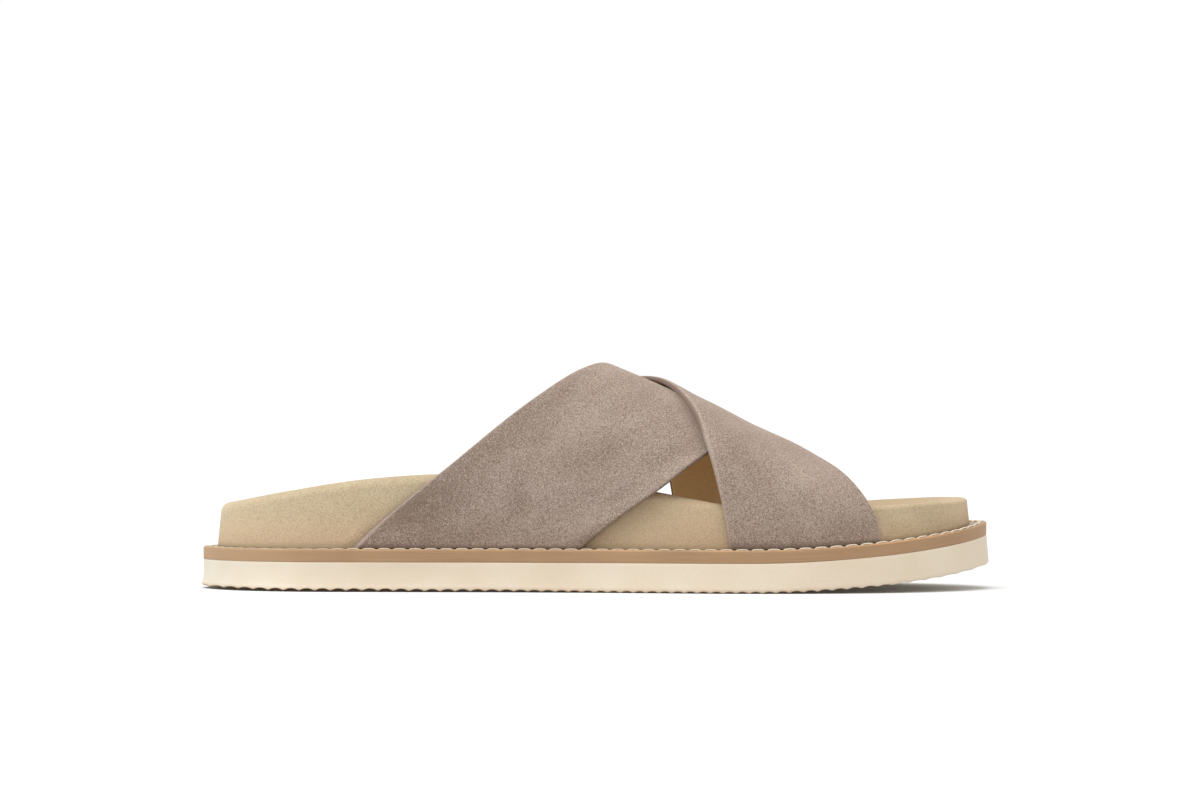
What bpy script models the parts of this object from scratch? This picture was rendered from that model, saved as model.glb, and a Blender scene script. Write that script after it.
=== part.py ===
"""Left slide sandal: two crossed straps over a contoured footbed, on a welt and a scalloped outsole.

Metres, +Z up. +X points to the toe, -Y to the big-toe (medial) side and +Y to the little-toe (lateral) side.
The origin is on the ground, under the middle of the sole.
"""

from collections import namedtuple
from functools import lru_cache
from math import radians

import bmesh
import bpy
import numpy as np

# Sole layers: the outline is the footbed's, and the layers under it stand out from it
FOOTBED_LENGTH = 0.2732
BALL_WIDTH = 0.0966
FOOTBED_SETBACK = 0.0005
WELT_LEDGE = 0.0057
WELT_TOP = 0.0152
WELT_BEVEL = 0.0004
OUTSOLE_TOP = 0.0106
OUTSOLE_FLARE = 0.0010
OUTSOLE_HOLLOW = 0.0004
HOLLOW_HEIGHT = 0.55
SEAT_GAP = 0.0003

# Toe spring of every layer, which grows by SPRING_TWIST for each metre towards the lateral side, then the
# lift of the heel's end and the slight arch under the waist
SPRING_RISE = 0.0092
SPRING_START = 0.054
SPRING_END = 0.142
SPRING_EASE = 2.0
SPRING_TWIST = 4.3
HEEL_LIFT = 0.0006
HEEL_LIFT_START = -0.112
HEEL_LIFT_RUN = 0.022
ARCH_RISE = 0.0006
ARCH_MIDDLE = -0.035
ARCH_REACH = 0.050

# Tread: where a land ends and a groove's floor starts, as shares of the pitch from the land's middle
RIB_DEPTH = 0.0008
RIB_LAND = 0.17
RIB_FLOOR = 0.38

# Footbed: its wall, rim and dish, and the ends of the spine that its dish is drawn to
WALL_DRAFT = 0.10
RIM_RADIUS = 0.0034
DISH_SHARPNESS = 1.6
HEEL_CENTRE = 0.125
TOE_CENTRE = 0.865

# Straps: where they cross, the one on top sinks in by STRAP_SINK, and its rear edge stands off by EDGE_LIFT
STRAP_WALL = 0.0024
STRAP_SINK = 0.0005
CROSSING_RAMP = 0.014
CROSSING_RUNOUT = 0.030
EDGE_ROUND = 0.0010
EDGE_LIFT = 0.0013
EDGE_LIFT_DEPTH = 0.010
EDGE_LIFT_GIRTH = 0.13
EDGE_LIFT_REACH = 0.28

# Mesh density
OUTLINE_STEPS = 720
TREAD_STEPS = 601
LAYER_STATIONS = 65
SIDE_STATIONS = 26
FAN_STATIONS = 17
STRAP_STEPS = 40
STRAP_COLUMNS = 9
RIM_TURNS = (0, 30, 60, 90)
DISH_RINGS = (0.93, 0.84, 0.73, 0.60, 0.45, 0.26, 0.0)
WELD = 1e-6

# Outline of the footbed, walked from the heel along the medial side to the toe and back along the lateral
# side: along is a share of the footbed's length, across a share of the ball width
OutlineRow = namedtuple("OutlineRow", "along across")
OUTLINE = [
    OutlineRow(0.000, 0.005),
    OutlineRow(0.040, -0.212),
    OutlineRow(0.110, -0.316),
    OutlineRow(0.220, -0.347),
    OutlineRow(0.380, -0.373),
    OutlineRow(0.520, -0.419),
    OutlineRow(0.690, -0.497),
    OutlineRow(0.800, -0.490),
    OutlineRow(0.900, -0.409),
    OutlineRow(0.968, -0.248),
    OutlineRow(1.000, -0.031),
    OutlineRow(0.968, 0.181),
    OutlineRow(0.900, 0.336),
    OutlineRow(0.800, 0.445),
    OutlineRow(0.680, 0.497),
    OutlineRow(0.560, 0.494),
    OutlineRow(0.400, 0.450),
    OutlineRow(0.240, 0.388),
    OutlineRow(0.110, 0.326),
    OutlineRow(0.040, 0.217),
]

# Spacing of the tread's ribs along the sole
TreadRow = namedtuple("TreadRow", "x pitch")
TREAD = [
    TreadRow(-0.150, 0.0056),
    TreadRow(-0.060, 0.0055),
    TreadRow(0.000, 0.0046),
    TreadRow(0.060, 0.0047),
    TreadRow(0.100, 0.0056),
    TreadRow(0.150, 0.0062),
]

# Heights of the footbed above the welt: its two rims and the bed between them
RimRow = namedtuple("RimRow", "along medial lateral bed")
RIMS = [
    RimRow(0.00, 0.0156, 0.0156, 0.0104),
    RimRow(0.10, 0.0204, 0.0186, 0.0094),
    RimRow(0.22, 0.0249, 0.0190, 0.0090),
    RimRow(0.34, 0.0264, 0.0174, 0.0104),
    RimRow(0.46, 0.0246, 0.0150, 0.0120),
    RimRow(0.58, 0.0200, 0.0132, 0.0114),
    RimRow(0.66, 0.0160, 0.0124, 0.0100),
    RimRow(0.76, 0.0134, 0.0119, 0.0091),
    RimRow(0.88, 0.0124, 0.0118, 0.0091),
    RimRow(0.94, 0.0115, 0.0107, 0.0089),
    RimRow(1.00, 0.0095, 0.0095, 0.0086),
]

# The last inside the upper: height of its ridge over the ground, the ridge's place across the foot and how
# full its shoulders are
LastRow = namedtuple("LastRow", "x ridge across fullness")
LAST = [
    LastRow(-0.090, 0.1180, 0.000, 0.05),
    LastRow(-0.040, 0.0980, -0.001, 0.05),
    LastRow(0.000, 0.0812, -0.003, 0.08),
    LastRow(0.020, 0.0728, -0.004, 0.15),
    LastRow(0.040, 0.0637, -0.005, 0.22),
    LastRow(0.060, 0.0536, -0.006, 0.30),
    LastRow(0.080, 0.0466, -0.006, 0.40),
    LastRow(0.100, 0.0415, -0.006, 0.50),
    LastRow(0.120, 0.0365, -0.006, 0.55),
]

# Both edges of each strap, as x along the foot: girth runs from -1 at the medial welt over 0 on the ridge to
# 1 at the lateral welt
StrapRow = namedtuple("StrapRow", "girth rear front")
UNDER_STRAP = [
    StrapRow(-1.00, -0.0847, -0.0043),
    StrapRow(-0.75, -0.0473, 0.0245),
    StrapRow(-0.50, -0.0214, 0.0412),
    StrapRow(-0.25, -0.0049, 0.0506),
    StrapRow(0.00, 0.0053, 0.0590),
    StrapRow(0.25, 0.0175, 0.0690),
    StrapRow(0.50, 0.0240, 0.0765),
    StrapRow(0.75, 0.0283, 0.0820),
    StrapRow(1.00, 0.0315, 0.0847),
]
OVER_STRAP = [
    StrapRow(-1.00, 0.0480, 0.1007),
    StrapRow(-0.75, 0.0450, 0.0990),
    StrapRow(-0.50, 0.0407, 0.0932),
    StrapRow(-0.25, 0.0347, 0.0845),
    StrapRow(0.00, 0.0260, 0.0715),
    StrapRow(0.25, 0.0100, 0.0565),
    StrapRow(0.50, -0.0170, 0.0415),
    StrapRow(0.75, -0.0465, 0.0245),
    StrapRow(1.00, -0.0840, -0.0050),
]

# Finishes: linear base colour and roughness
FinishRow = namedtuple("FinishRow", "node colour roughness")
FINISHES = [
    FinishRow("outsole", (0.79, 0.66, 0.50), 0.55),
    FinishRow("welt", (0.42, 0.26, 0.15), 0.60),
    FinishRow("footbed", (0.55, 0.42, 0.28), 0.90),
    FinishRow("upper", (0.38, 0.29, 0.24), 0.92),
]


def column(table, name):
    """One named column of a table, as an array."""
    return np.array([getattr(row, name) for row in table])


def smooth(knots, values, at):
    """Cubic curve through the rows of a table, with each slope taken from the rows beside it."""
    slopes = np.gradient(values, knots)
    at = np.clip(at, knots[0], knots[-1])
    i = np.clip(np.searchsorted(knots, at, side="right") - 1, 0, len(knots) - 2)
    span = knots[i + 1] - knots[i]
    t = (at - knots[i]) / span
    rise = t * t * (3 - 2 * t)
    bend = t * (1 - t) * ((1 - t) * slopes[i] - t * slopes[i + 1])
    return (1 - rise) * values[i] + rise * values[i + 1] + span * bend


def ease(t):
    """Runs from 0 to 1 with a level start and end."""
    t = np.clip(t, 0, 1)
    return t * t * (3 - 2 * t)


@lru_cache(maxsize=None)
def outline():
    """Closed line round the footbed, from the heel along the medial side, and the directions out of it."""
    x = (column(OUTLINE, "along") - 0.5) * FOOTBED_LENGTH
    y = column(OUTLINE, "across") * BALL_WIDTH
    ring_x, ring_y = np.tile(x, 3), np.tile(y, 3)
    walked = np.concatenate([[0], np.cumsum(np.hypot(np.diff(ring_x), np.diff(ring_y)))])
    at = np.linspace(walked[len(x)], walked[2 * len(x)], OUTLINE_STEPS, endpoint=False)
    line = np.stack([smooth(walked, ring_x, at), smooth(walked, ring_y, at)], axis=1)
    line -= (line.max(axis=0) + line.min(axis=0)) / 2
    line = np.roll(line, -line[:, 0].argmin(), axis=0)
    way = np.roll(line, -1, axis=0) - np.roll(line, 1, axis=0)
    out = np.stack([way[:, 1], -way[:, 0]], axis=1)
    return line, out / np.linalg.norm(out, axis=1, keepdims=True)


@lru_cache(maxsize=None)
def side_line(grow, side):
    """One side of the outline grown outwards, from the heel's end to the toe's end."""
    line, out = outline()
    line = line + grow * out
    line = np.roll(line, -line[:, 0].argmin(), axis=0)
    toe = line[:, 0].argmax()
    if side < 0:
        return line[: toe + 1]
    return np.concatenate([line[toe:], line[:1]])[::-1]


def side_y(grow, side, x):
    """Where one side of the grown outline lies across the foot, at x."""
    line = side_line(grow, side)
    return np.interp(x, line[:, 0], line[:, 1])


def toe_spring(x, y):
    """Rise of every layer towards the toe: it eases in at the ball, and is greater on the lateral side."""
    t = np.clip((x - SPRING_START) / (SPRING_END - SPRING_START), 0, None)
    return SPRING_RISE * (1 + SPRING_EASE) * t * t / (t + SPRING_EASE) * (1 + SPRING_TWIST * y)


def ground_line(x, y):
    """Underside of the outsole without its ribs: toe spring, lifted heel end and an arch at the waist."""
    arch = ARCH_RISE * (1 - ease(np.abs(x - ARCH_MIDDLE) / ARCH_REACH))
    return toe_spring(x, y) + arch + HEEL_LIFT * ease((HEEL_LIFT_START - x) / HEEL_LIFT_RUN)


@lru_cache(maxsize=None)
def rib_counts():
    """Steps along the sole, and how many ribs lie behind each."""
    steps = np.linspace(TREAD[0].x, TREAD[-1].x, TREAD_STEPS)
    per_metre = 1 / smooth(column(TREAD, "x"), column(TREAD, "pitch"), steps)
    passed = (per_metre[1:] + per_metre[:-1]) / 2 * np.diff(steps)
    return steps, np.concatenate([[0], np.cumsum(passed)])


def rib_rise(x):
    """Height of the tread over its lands: flat lands, with a groove between each two."""
    count = np.interp(x, *rib_counts())
    from_land = np.abs(count - np.round(count))
    return RIB_DEPTH * np.clip((from_land - RIB_LAND) / (RIB_FLOOR - RIB_LAND), 0, 1)


def sole_shares():
    """Shares of the sole's length that carry a section: the corners of each rib, and fine ends."""
    steps, counts = rib_counts()
    corners = np.array([-RIB_LAND, RIB_LAND, RIB_FLOOR, 1 - RIB_FLOOR])
    wanted = (np.arange(np.ceil(counts[-1]))[:, None] + corners).ravel()
    heel, toe = side_line(WELT_LEDGE + OUTSOLE_FLARE, -1)[[0, -1], 0]
    ribs = (np.interp(wanted, counts, steps) - heel) / (toe - heel)
    fine = np.array([0, 0.0006, 0.0025, 0.006, 0.011])
    ribs = ribs[(ribs > fine[-1] + 0.002) & (ribs < 1 - fine[-1] - 0.002)]
    return np.concatenate([fine, np.unique(ribs), 1 - fine[::-1]])


def plain_shares():
    """Shares of the length for a layer without ribs, close together at the round ends."""
    return (1 - np.cos(np.linspace(0, np.pi, LAYER_STATIONS))) / 2


def layer_rings(levels, shares):
    """Sections of a sole layer: each level is how far its edge stands out, and its height at a place."""
    medial, lateral = [], []
    for grow, height in levels:
        ends = side_line(grow, -1)[[0, -1], 0]
        x = ends[0] + shares * (ends[1] - ends[0])
        for side, sections in ((-1, medial), (1, lateral)):
            y = side_y(grow, side, x)
            sections.append(np.stack([x, y, height(x, y)], axis=1))
        lateral[-1][[0, -1]] = medial[-1][[0, -1]]
    return np.stack(medial + lateral[::-1], axis=1)


def outsole_rings():
    """Outsole: a flat top under the welt, a slightly hollow side and the ribbed tread."""
    return layer_rings(
        [
            (WELT_LEDGE, lambda x, y: OUTSOLE_TOP + toe_spring(x, y)),
            (WELT_LEDGE - OUTSOLE_HOLLOW, lambda x, y: OUTSOLE_TOP * HOLLOW_HEIGHT + toe_spring(x, y)),
            (WELT_LEDGE + OUTSOLE_FLARE, lambda x, y: ground_line(x, y) + rib_rise(x)),
        ],
        sole_shares(),
    )


def welt_rings():
    """Welt: a plate of even thickness with its upper edge broken."""
    return layer_rings(
        [
            (WELT_LEDGE - WELT_BEVEL, lambda x, y: WELT_TOP + toe_spring(x, y)),
            (WELT_LEDGE, lambda x, y: WELT_TOP - WELT_BEVEL + toe_spring(x, y)),
            (WELT_LEDGE, lambda x, y: OUTSOLE_TOP + SEAT_GAP + toe_spring(x, y)),
        ],
        plain_shares(),
    )


def footbed_stations():
    """Share of the length and side of each point round the footbed, in pairs across the foot."""
    heel_fan = HEEL_CENTRE * (1 - np.cos(np.linspace(0, np.pi / 2, FAN_STATIONS)))
    toe_fan = 1 - (1 - TOE_CENTRE) * (1 - np.cos(np.linspace(np.pi / 2, 0, FAN_STATIONS)))
    middle = np.linspace(HEEL_CENTRE, TOE_CENTRE, SIDE_STATIONS)[1:-1]
    along = np.concatenate([heel_fan, middle, toe_fan])
    shares = np.concatenate([along, along[-2:0:-1]])
    sides = np.concatenate([np.full(len(along), -1), np.full(len(along) - 2, 1)])
    return shares, sides


def footbed_ring(shares, sides, inset, height, inward=1.0):
    """One ring of the footbed: the outline pulled in by inset, then drawn towards the spine."""
    line, out = outline()
    toe = line[:, 0].argmax()
    places = np.arange(len(line) + 1)
    wrapped = np.append(line[:, 0], line[0, 0])
    x = (shares - 0.5) * FOOTBED_LENGTH
    medial = np.interp(x, wrapped[: toe + 1], places[: toe + 1])
    lateral = np.interp(x, wrapped[toe:][::-1], places[toe:][::-1])
    place = np.where(sides < 0, medial, lateral)
    edge = np.stack([np.interp(place, places[:-1], part, period=len(line)) for part in line.T], axis=1)
    away = np.stack([np.interp(place, places[:-1], part, period=len(line)) for part in out.T], axis=1)
    edge = edge - away * inset[:, None]
    spine_x = np.clip(shares, HEEL_CENTRE, TOE_CENTRE) * FOOTBED_LENGTH - FOOTBED_LENGTH / 2
    spine_y = (side_y(0.0, -1, spine_x) + side_y(0.0, 1, spine_x)) / 2
    spine = np.stack([spine_x, spine_y], axis=1)
    plan = spine + (edge - spine) * inward - np.array([FOOTBED_SETBACK, 0.0])
    seat = WELT_TOP + SEAT_GAP + toe_spring(*plan.T)
    return np.column_stack([plan, seat + height])


def footbed_rings():
    """Footbed: flat seat, drafted wall, rounded rim and a dished top with heel cup and arch."""
    shares, sides = footbed_stations()
    along = column(RIMS, "along")
    medial = smooth(along, column(RIMS, "medial"), shares)
    lateral = smooth(along, column(RIMS, "lateral"), shares)
    rim = np.where(sides < 0, medial, lateral)
    bed = smooth(along, column(RIMS, "bed"), np.clip(shares, HEEL_CENTRE, TOE_CENTRE))
    flat = np.zeros(len(shares))
    rings = [footbed_ring(shares, sides, flat, flat, 0.0), footbed_ring(shares, sides, flat, flat)]
    shoulder = rim - RIM_RADIUS
    for turn in np.radians(RIM_TURNS):
        inset = WALL_DRAFT * shoulder + RIM_RADIUS * (1 - np.cos(turn))
        rings.append(footbed_ring(shares, sides, inset, shoulder + RIM_RADIUS * np.sin(turn)))
    inset = WALL_DRAFT * shoulder + RIM_RADIUS
    for inward in DISH_RINGS:
        dish = bed + (rim - bed) * ease(inward**DISH_SHARPNESS)
        rings.append(footbed_ring(shares, sides, inset, dish, inward))
    return np.stack(rings)


def last_point(x, girth):
    """Inside face of the upper: an arch from the medial welt over the ridge to the lateral welt at each x."""
    rows_x = column(LAST, "x")
    ridge = smooth(rows_x, column(LAST, "ridge"), x)
    middle = smooth(rows_x, column(LAST, "across"), x)
    fullness = smooth(rows_x, column(LAST, "fullness"), x)
    beside = x + FOOTBED_SETBACK
    edge = np.where(girth < 0, side_y(SEAT_GAP, -1, beside), side_y(SEAT_GAP, 1, beside))
    foot = WELT_TOP + SEAT_GAP + toe_spring(x, edge)
    turn = (1 - np.abs(girth)) * np.pi / 2
    reach = np.cos(turn) * (1 + fullness * np.sin(turn) ** 2)
    return np.stack([x, middle + (edge - middle) * reach, foot + (ridge - foot) * np.sin(turn)], axis=-1)


def last_normal(x, girth):
    """Direction out of the last, from the slopes of its surface."""
    step_x, step_girth = 0.0005, 0.004
    along = last_point(x + step_x, girth) - last_point(x - step_x, girth)
    low, high = np.clip(girth - step_girth, -1, 1), np.clip(girth + step_girth, -1, 1)
    around = last_point(x, high) - last_point(x, low)
    out = np.cross(along, around)
    return out / np.linalg.norm(out, axis=-1, keepdims=True)


def strap_edges(table, girth):
    """Rear and front edge of a strap at each girth."""
    rows = column(table, "girth")
    return smooth(rows, column(table, "rear"), girth), smooth(rows, column(table, "front"), girth)


def over_lift(x, girth):
    """How far the strap on top stands off the last: over the other strap, and along its own rear edge."""
    rear, front = strap_edges(UNDER_STRAP, girth)
    beside = np.maximum((rear - x) / CROSSING_RAMP, (x - front) / CROSSING_RUNOUT)
    crossing = (STRAP_WALL - STRAP_SINK) * (1 - ease(beside))
    own_rear = strap_edges(OVER_STRAP, girth)[0]
    on_edge = 1 - ease((x - own_rear) / EDGE_LIFT_DEPTH)
    on_ridge = 1 - ease(np.abs(girth - EDGE_LIFT_GIRTH) / EDGE_LIFT_REACH)
    return crossing + EDGE_LIFT * on_edge * on_ridge


def strap_rings(table, lift):
    """Sections of a strap from welt to welt: its outer face, then its inner face, with both edges rounded."""
    girth = np.linspace(-1, 1, STRAP_STEPS + 1)[:, None]
    rear, front = strap_edges(table, girth)
    inset = EDGE_ROUND / (front - rear)
    inner_columns = np.linspace(0, 1, STRAP_COLUMNS)[None, 1:-1]
    near_rear = [0 * inset, 0.3 * inset, inset]
    near_front = [1 - share for share in near_rear[::-1]]
    between = inset + (1 - 2 * inset) * inner_columns
    shares = np.concatenate([*near_rear, between, *near_front], axis=1)
    x = rear + (front - rear) * shares
    girth = np.broadcast_to(girth, x.shape)
    swell = np.ones(x.shape[1])
    swell[[0, -1]] = 0.0
    swell[[1, -2]] = 0.74
    point, out = last_point(x, girth), last_normal(x, girth)
    middle = lift(x, girth) + STRAP_WALL / 2
    outer = point + out * (middle + swell * STRAP_WALL / 2)[..., None]
    inner = point + out * (middle - swell * STRAP_WALL / 2)[..., None]
    return np.concatenate([outer, inner[:, ::-1]], axis=1)


def skin(name, rings, capped=False):
    """Object with a closed mesh through rings of points. Pinched ends weld shut, others are capped."""
    count, size = rings.shape[:2]
    i, j = np.meshgrid(np.arange(count - 1), np.arange(size), indexing="ij")
    here, beside = i * size + j, i * size + (j + 1) % size
    faces = np.stack([here, beside, beside + size, here + size], axis=-1).reshape(-1, 4)
    if capped:
        j = np.arange(size // 2 - 1)
        cap = np.stack([j, j + 1, size - 2 - j, size - 1 - j], axis=1)
        faces = np.concatenate([faces, cap[:, ::-1], cap + (count - 1) * size])
    mesh = bpy.data.meshes.new(name)
    mesh.from_pydata(rings.reshape(-1, 3).tolist(), [], faces.tolist())
    work = bmesh.new()
    work.from_mesh(mesh)
    bmesh.ops.remove_doubles(work, verts=work.verts, dist=WELD)
    bmesh.ops.recalc_face_normals(work, faces=work.faces)
    work.to_mesh(mesh)
    work.free()
    mesh.shade_smooth()
    mesh.set_sharp_from_angle(angle=radians(35))
    made = bpy.data.objects.new(name, mesh)
    bpy.context.scene.collection.objects.link(made)
    return made


def finish(made, row):
    """Gives an object its own material."""
    material = bpy.data.materials.new(row.node)
    material.use_nodes = True
    shader = material.node_tree.nodes["Principled BSDF"]
    shader.inputs["Base Color"].default_value = (*row.colour, 1.0)
    shader.inputs["Roughness"].default_value = row.roughness
    shader.inputs["Metallic"].default_value = 0.0
    made.data.materials.append(material)


def crossed_straps():
    """Upper: the strap underneath, joined to the one that crosses over it."""
    under = skin("upper", strap_rings(UNDER_STRAP, lambda x, girth: 0 * x), capped=True)
    over = skin("over_strap", strap_rings(OVER_STRAP, over_lift), capped=True)
    over.hide_render = True
    over.display_type = "WIRE"
    join = under.modifiers.new("join", "BOOLEAN")
    join.operation = "UNION"
    join.solver = "EXACT"
    join.object = over
    return under


def main():
    """Builds the four pieces of the sandal."""
    for old in list(bpy.data.objects):
        bpy.data.objects.remove(old)
    made = {
        "outsole": skin("outsole", outsole_rings()),
        "welt": skin("welt", welt_rings()),
        "footbed": skin("footbed", footbed_rings()),
        "upper": crossed_straps(),
    }
    for row in FINISHES:
        finish(made[row.node], row)


if __name__ == "__main__":
    main()
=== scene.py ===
"""Looks of a left slide sandal: crossed suede straps, wrapped footbed, stitched welt and foam outsole.

Metres, +Z up. +X points to the toe, -Y to the big-toe (medial) side and +Y to the little-toe (lateral) side.
The surfaces follow the same sizes and short tables as the part's solids, on finer grids with rounded edges.
"""

import logging
import math
from dataclasses import dataclass, field
from enum import Enum
from functools import cached_property
from typing import Any, NamedTuple, Sequence

import bmesh
import bpy
import numpy as np
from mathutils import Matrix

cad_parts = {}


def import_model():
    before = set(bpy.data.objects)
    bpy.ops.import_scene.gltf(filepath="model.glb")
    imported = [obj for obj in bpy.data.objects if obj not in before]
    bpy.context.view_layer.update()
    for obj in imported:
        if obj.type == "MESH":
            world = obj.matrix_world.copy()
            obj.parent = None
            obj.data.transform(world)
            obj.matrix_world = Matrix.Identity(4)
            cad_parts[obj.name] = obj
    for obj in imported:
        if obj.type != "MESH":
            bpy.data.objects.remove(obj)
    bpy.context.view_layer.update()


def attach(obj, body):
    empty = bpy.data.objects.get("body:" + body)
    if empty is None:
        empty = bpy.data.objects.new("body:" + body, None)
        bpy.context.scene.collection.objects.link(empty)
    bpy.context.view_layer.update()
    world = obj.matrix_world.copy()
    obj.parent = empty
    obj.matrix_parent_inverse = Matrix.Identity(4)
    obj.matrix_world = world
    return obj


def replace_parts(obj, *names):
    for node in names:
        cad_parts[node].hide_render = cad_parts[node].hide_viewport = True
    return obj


LOG = logging.getLogger("sandal")
Array = np.ndarray
Colour = tuple[float, float, float]
Limits = tuple[float, float]
BODY = "root"
WELD = 1e-6
WHITE = (1.0, 1.0, 1.0)


class Side(Enum):
    """The two long sides of the sandal, as signs of Y."""

    MEDIAL = -1
    LATERAL = 1


class StrapLayer(Enum):
    """Which of the two crossed straps lies on top."""

    UNDER = "under"
    OVER = "over"


class OutlineRow(NamedTuple):
    """A point of the footbed's outline: shares of its length and of the ball width."""

    along: float
    across: float


class TreadRow(NamedTuple):
    """Spacing of the tread's ribs at a place along the sole."""

    x: float
    pitch: float


class RimRow(NamedTuple):
    """Heights of the footbed's two rims and of the bed between them, above the welt."""

    along: float
    medial: float
    lateral: float
    bed: float


class LastRow(NamedTuple):
    """Section of the last: its ridge's height and place across the foot, and how full its shoulders are."""

    x: float
    ridge: float
    across: float
    fullness: float


class StrapRow(NamedTuple):
    """Rear and front edge of a strap at a girth from -1, the medial welt, to 1, the lateral welt."""

    girth: float
    rear: float
    front: float


class BellRow(NamedTuple):
    """A bell round its middle in the suede: a soft trough or ridge, a nap patch, painted light or painted
    shade.

    heading is in degrees from +X, length and width are halves, tone is the change from nap patches and from
    painted light and shade, and height lifts or sinks the surface.
    """

    x: float
    z: float
    heading: float
    length: float
    width: float
    tone: float
    height: float


def table(kind: type, *rows: tuple[float, ...]) -> tuple:
    """Rows of a table, with each number under the name of its column."""
    return tuple(kind(*row) for row in rows)


# Walked from the heel along the medial side to the toe, and back along the lateral side
OUTLINE = table(
    OutlineRow,
    (0.000, 0.005),
    (0.040, -0.212),
    (0.110, -0.316),
    (0.220, -0.347),
    (0.380, -0.373),
    (0.520, -0.419),
    (0.690, -0.497),
    (0.800, -0.490),
    (0.900, -0.409),
    (0.968, -0.248),
    (1.000, -0.031),
    (0.968, 0.181),
    (0.900, 0.336),
    (0.800, 0.445),
    (0.680, 0.497),
    (0.560, 0.494),
    (0.400, 0.450),
    (0.240, 0.388),
    (0.110, 0.326),
    (0.040, 0.217),
)
TREAD = table(
    TreadRow,
    (-0.150, 0.0056),
    (-0.060, 0.0055),
    (0.000, 0.0046),
    (0.060, 0.0047),
    (0.100, 0.0056),
    (0.150, 0.0062),
)
RIMS = table(
    RimRow,
    (0.00, 0.0156, 0.0156, 0.0104),
    (0.10, 0.0204, 0.0186, 0.0094),
    (0.22, 0.0249, 0.0190, 0.0090),
    (0.34, 0.0264, 0.0174, 0.0104),
    (0.46, 0.0246, 0.0150, 0.0120),
    (0.58, 0.0200, 0.0132, 0.0114),
    (0.66, 0.0160, 0.0124, 0.0100),
    (0.76, 0.0134, 0.0119, 0.0091),
    (0.88, 0.0124, 0.0118, 0.0091),
    (0.94, 0.0115, 0.0107, 0.0089),
    (1.00, 0.0095, 0.0095, 0.0086),
)
LAST = table(
    LastRow,
    (-0.090, 0.1180, 0.000, 0.05),
    (-0.040, 0.0980, -0.001, 0.05),
    (0.000, 0.0812, -0.003, 0.08),
    (0.020, 0.0728, -0.004, 0.15),
    (0.040, 0.0637, -0.005, 0.22),
    (0.060, 0.0536, -0.006, 0.30),
    (0.080, 0.0466, -0.006, 0.40),
    (0.100, 0.0415, -0.006, 0.50),
    (0.120, 0.0365, -0.006, 0.55),
)
UNDER_STRAP = table(
    StrapRow,
    (-1.00, -0.0847, -0.0043),
    (-0.75, -0.0473, 0.0245),
    (-0.50, -0.0214, 0.0412),
    (-0.25, -0.0049, 0.0506),
    (0.00, 0.0053, 0.0590),
    (0.25, 0.0175, 0.0690),
    (0.50, 0.0240, 0.0765),
    (0.75, 0.0283, 0.0820),
    (1.00, 0.0315, 0.0847),
)
OVER_STRAP = table(
    StrapRow,
    (-1.00, 0.0480, 0.1007),
    (-0.75, 0.0450, 0.0990),
    (-0.50, 0.0407, 0.0932),
    (-0.25, 0.0347, 0.0845),
    (0.00, 0.0260, 0.0715),
    (0.25, 0.0100, 0.0565),
    (0.50, -0.0170, 0.0415),
    (0.75, -0.0465, 0.0245),
    (1.00, -0.0840, -0.0050),
)
# Creases with their heights, nap patches in tone, and painted light and shade marked below.
STRAP_CREASES_AND_PAINTED_LIGHT = table(
    BellRow,
    (-0.0035, 0.0240, 33.0, 0.0110, 0.0035, 0.16, 0.0),
    (-0.0620, 0.0290, 35.0, 0.0150, 0.0085, -0.24, -0.00010),
    (-0.0265, 0.0325, 70.0, 0.0048, 0.0040, -0.26, -0.00018),
    (-0.0480, 0.0195, 10.0, 0.0140, 0.0030, -0.14, -0.00006),
    (-0.0704, 0.0205, 10.0, 0.0050, 0.0026, 0.14, 0.00006),
    (-0.0310, 0.0560, 38.0, 0.0160, 0.0028, -0.09, -0.00010),
    (-0.0120, 0.0690, 40.0, 0.0120, 0.0030, -0.09, -0.00008),
    (-0.0140, 0.0530, 62.0, 0.0090, 0.0018, 0.09, 0.00012),
    (-0.0070, 0.0580, 58.0, 0.0100, 0.0020, 0.06, 0.00012),
    (0.0010, 0.0640, 55.0, 0.0080, 0.0018, 0.05, 0.00010),
    (0.0045, 0.0510, 80.0, 0.0045, 0.0032, -0.06, -0.00010),
    (0.0020, 0.0300, 60.0, 0.0080, 0.0042, 0.06, 0.00008),
    (0.0165, 0.0410, 30.0, 0.0085, 0.0042, 0.05, 0.00008),
    # Painted highlight along the top of the strap on top.
    (0.0520, 0.0605, -24.0, 0.0300, 0.0050, 0.16, 0.0),
    (-0.0030, 0.0790, 0.0, 0.0130, 0.0035, 0.08, 0.0),
    (0.0520, 0.0500, 65.0, 0.0070, 0.0030, -0.08, -0.00010),
    (0.0720, 0.0390, 50.0, 0.0080, 0.0032, 0.03, 0.00008),
    (0.0830, 0.0300, 70.0, 0.0060, 0.0030, 0.06, 0.00008),
    (0.0640, 0.0290, 75.0, 0.0060, 0.0026, -0.04, -0.00008),
    (0.0900, 0.0225, 15.0, 0.0090, 0.0030, -0.06, -0.00006),
    (0.0480, 0.0290, 103.0, 0.0150, 0.0050, 0.10, 0.0),
    # Painted shade where the front edge of the strap underneath comes down to the footbed.
    (-0.0015, 0.0185, 38.0, 0.0060, 0.0028, -0.28, 0.0),
    (0.0725, 0.0245, 0.0, 0.0220, 0.0060, 0.05, 0.0),
)
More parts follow.
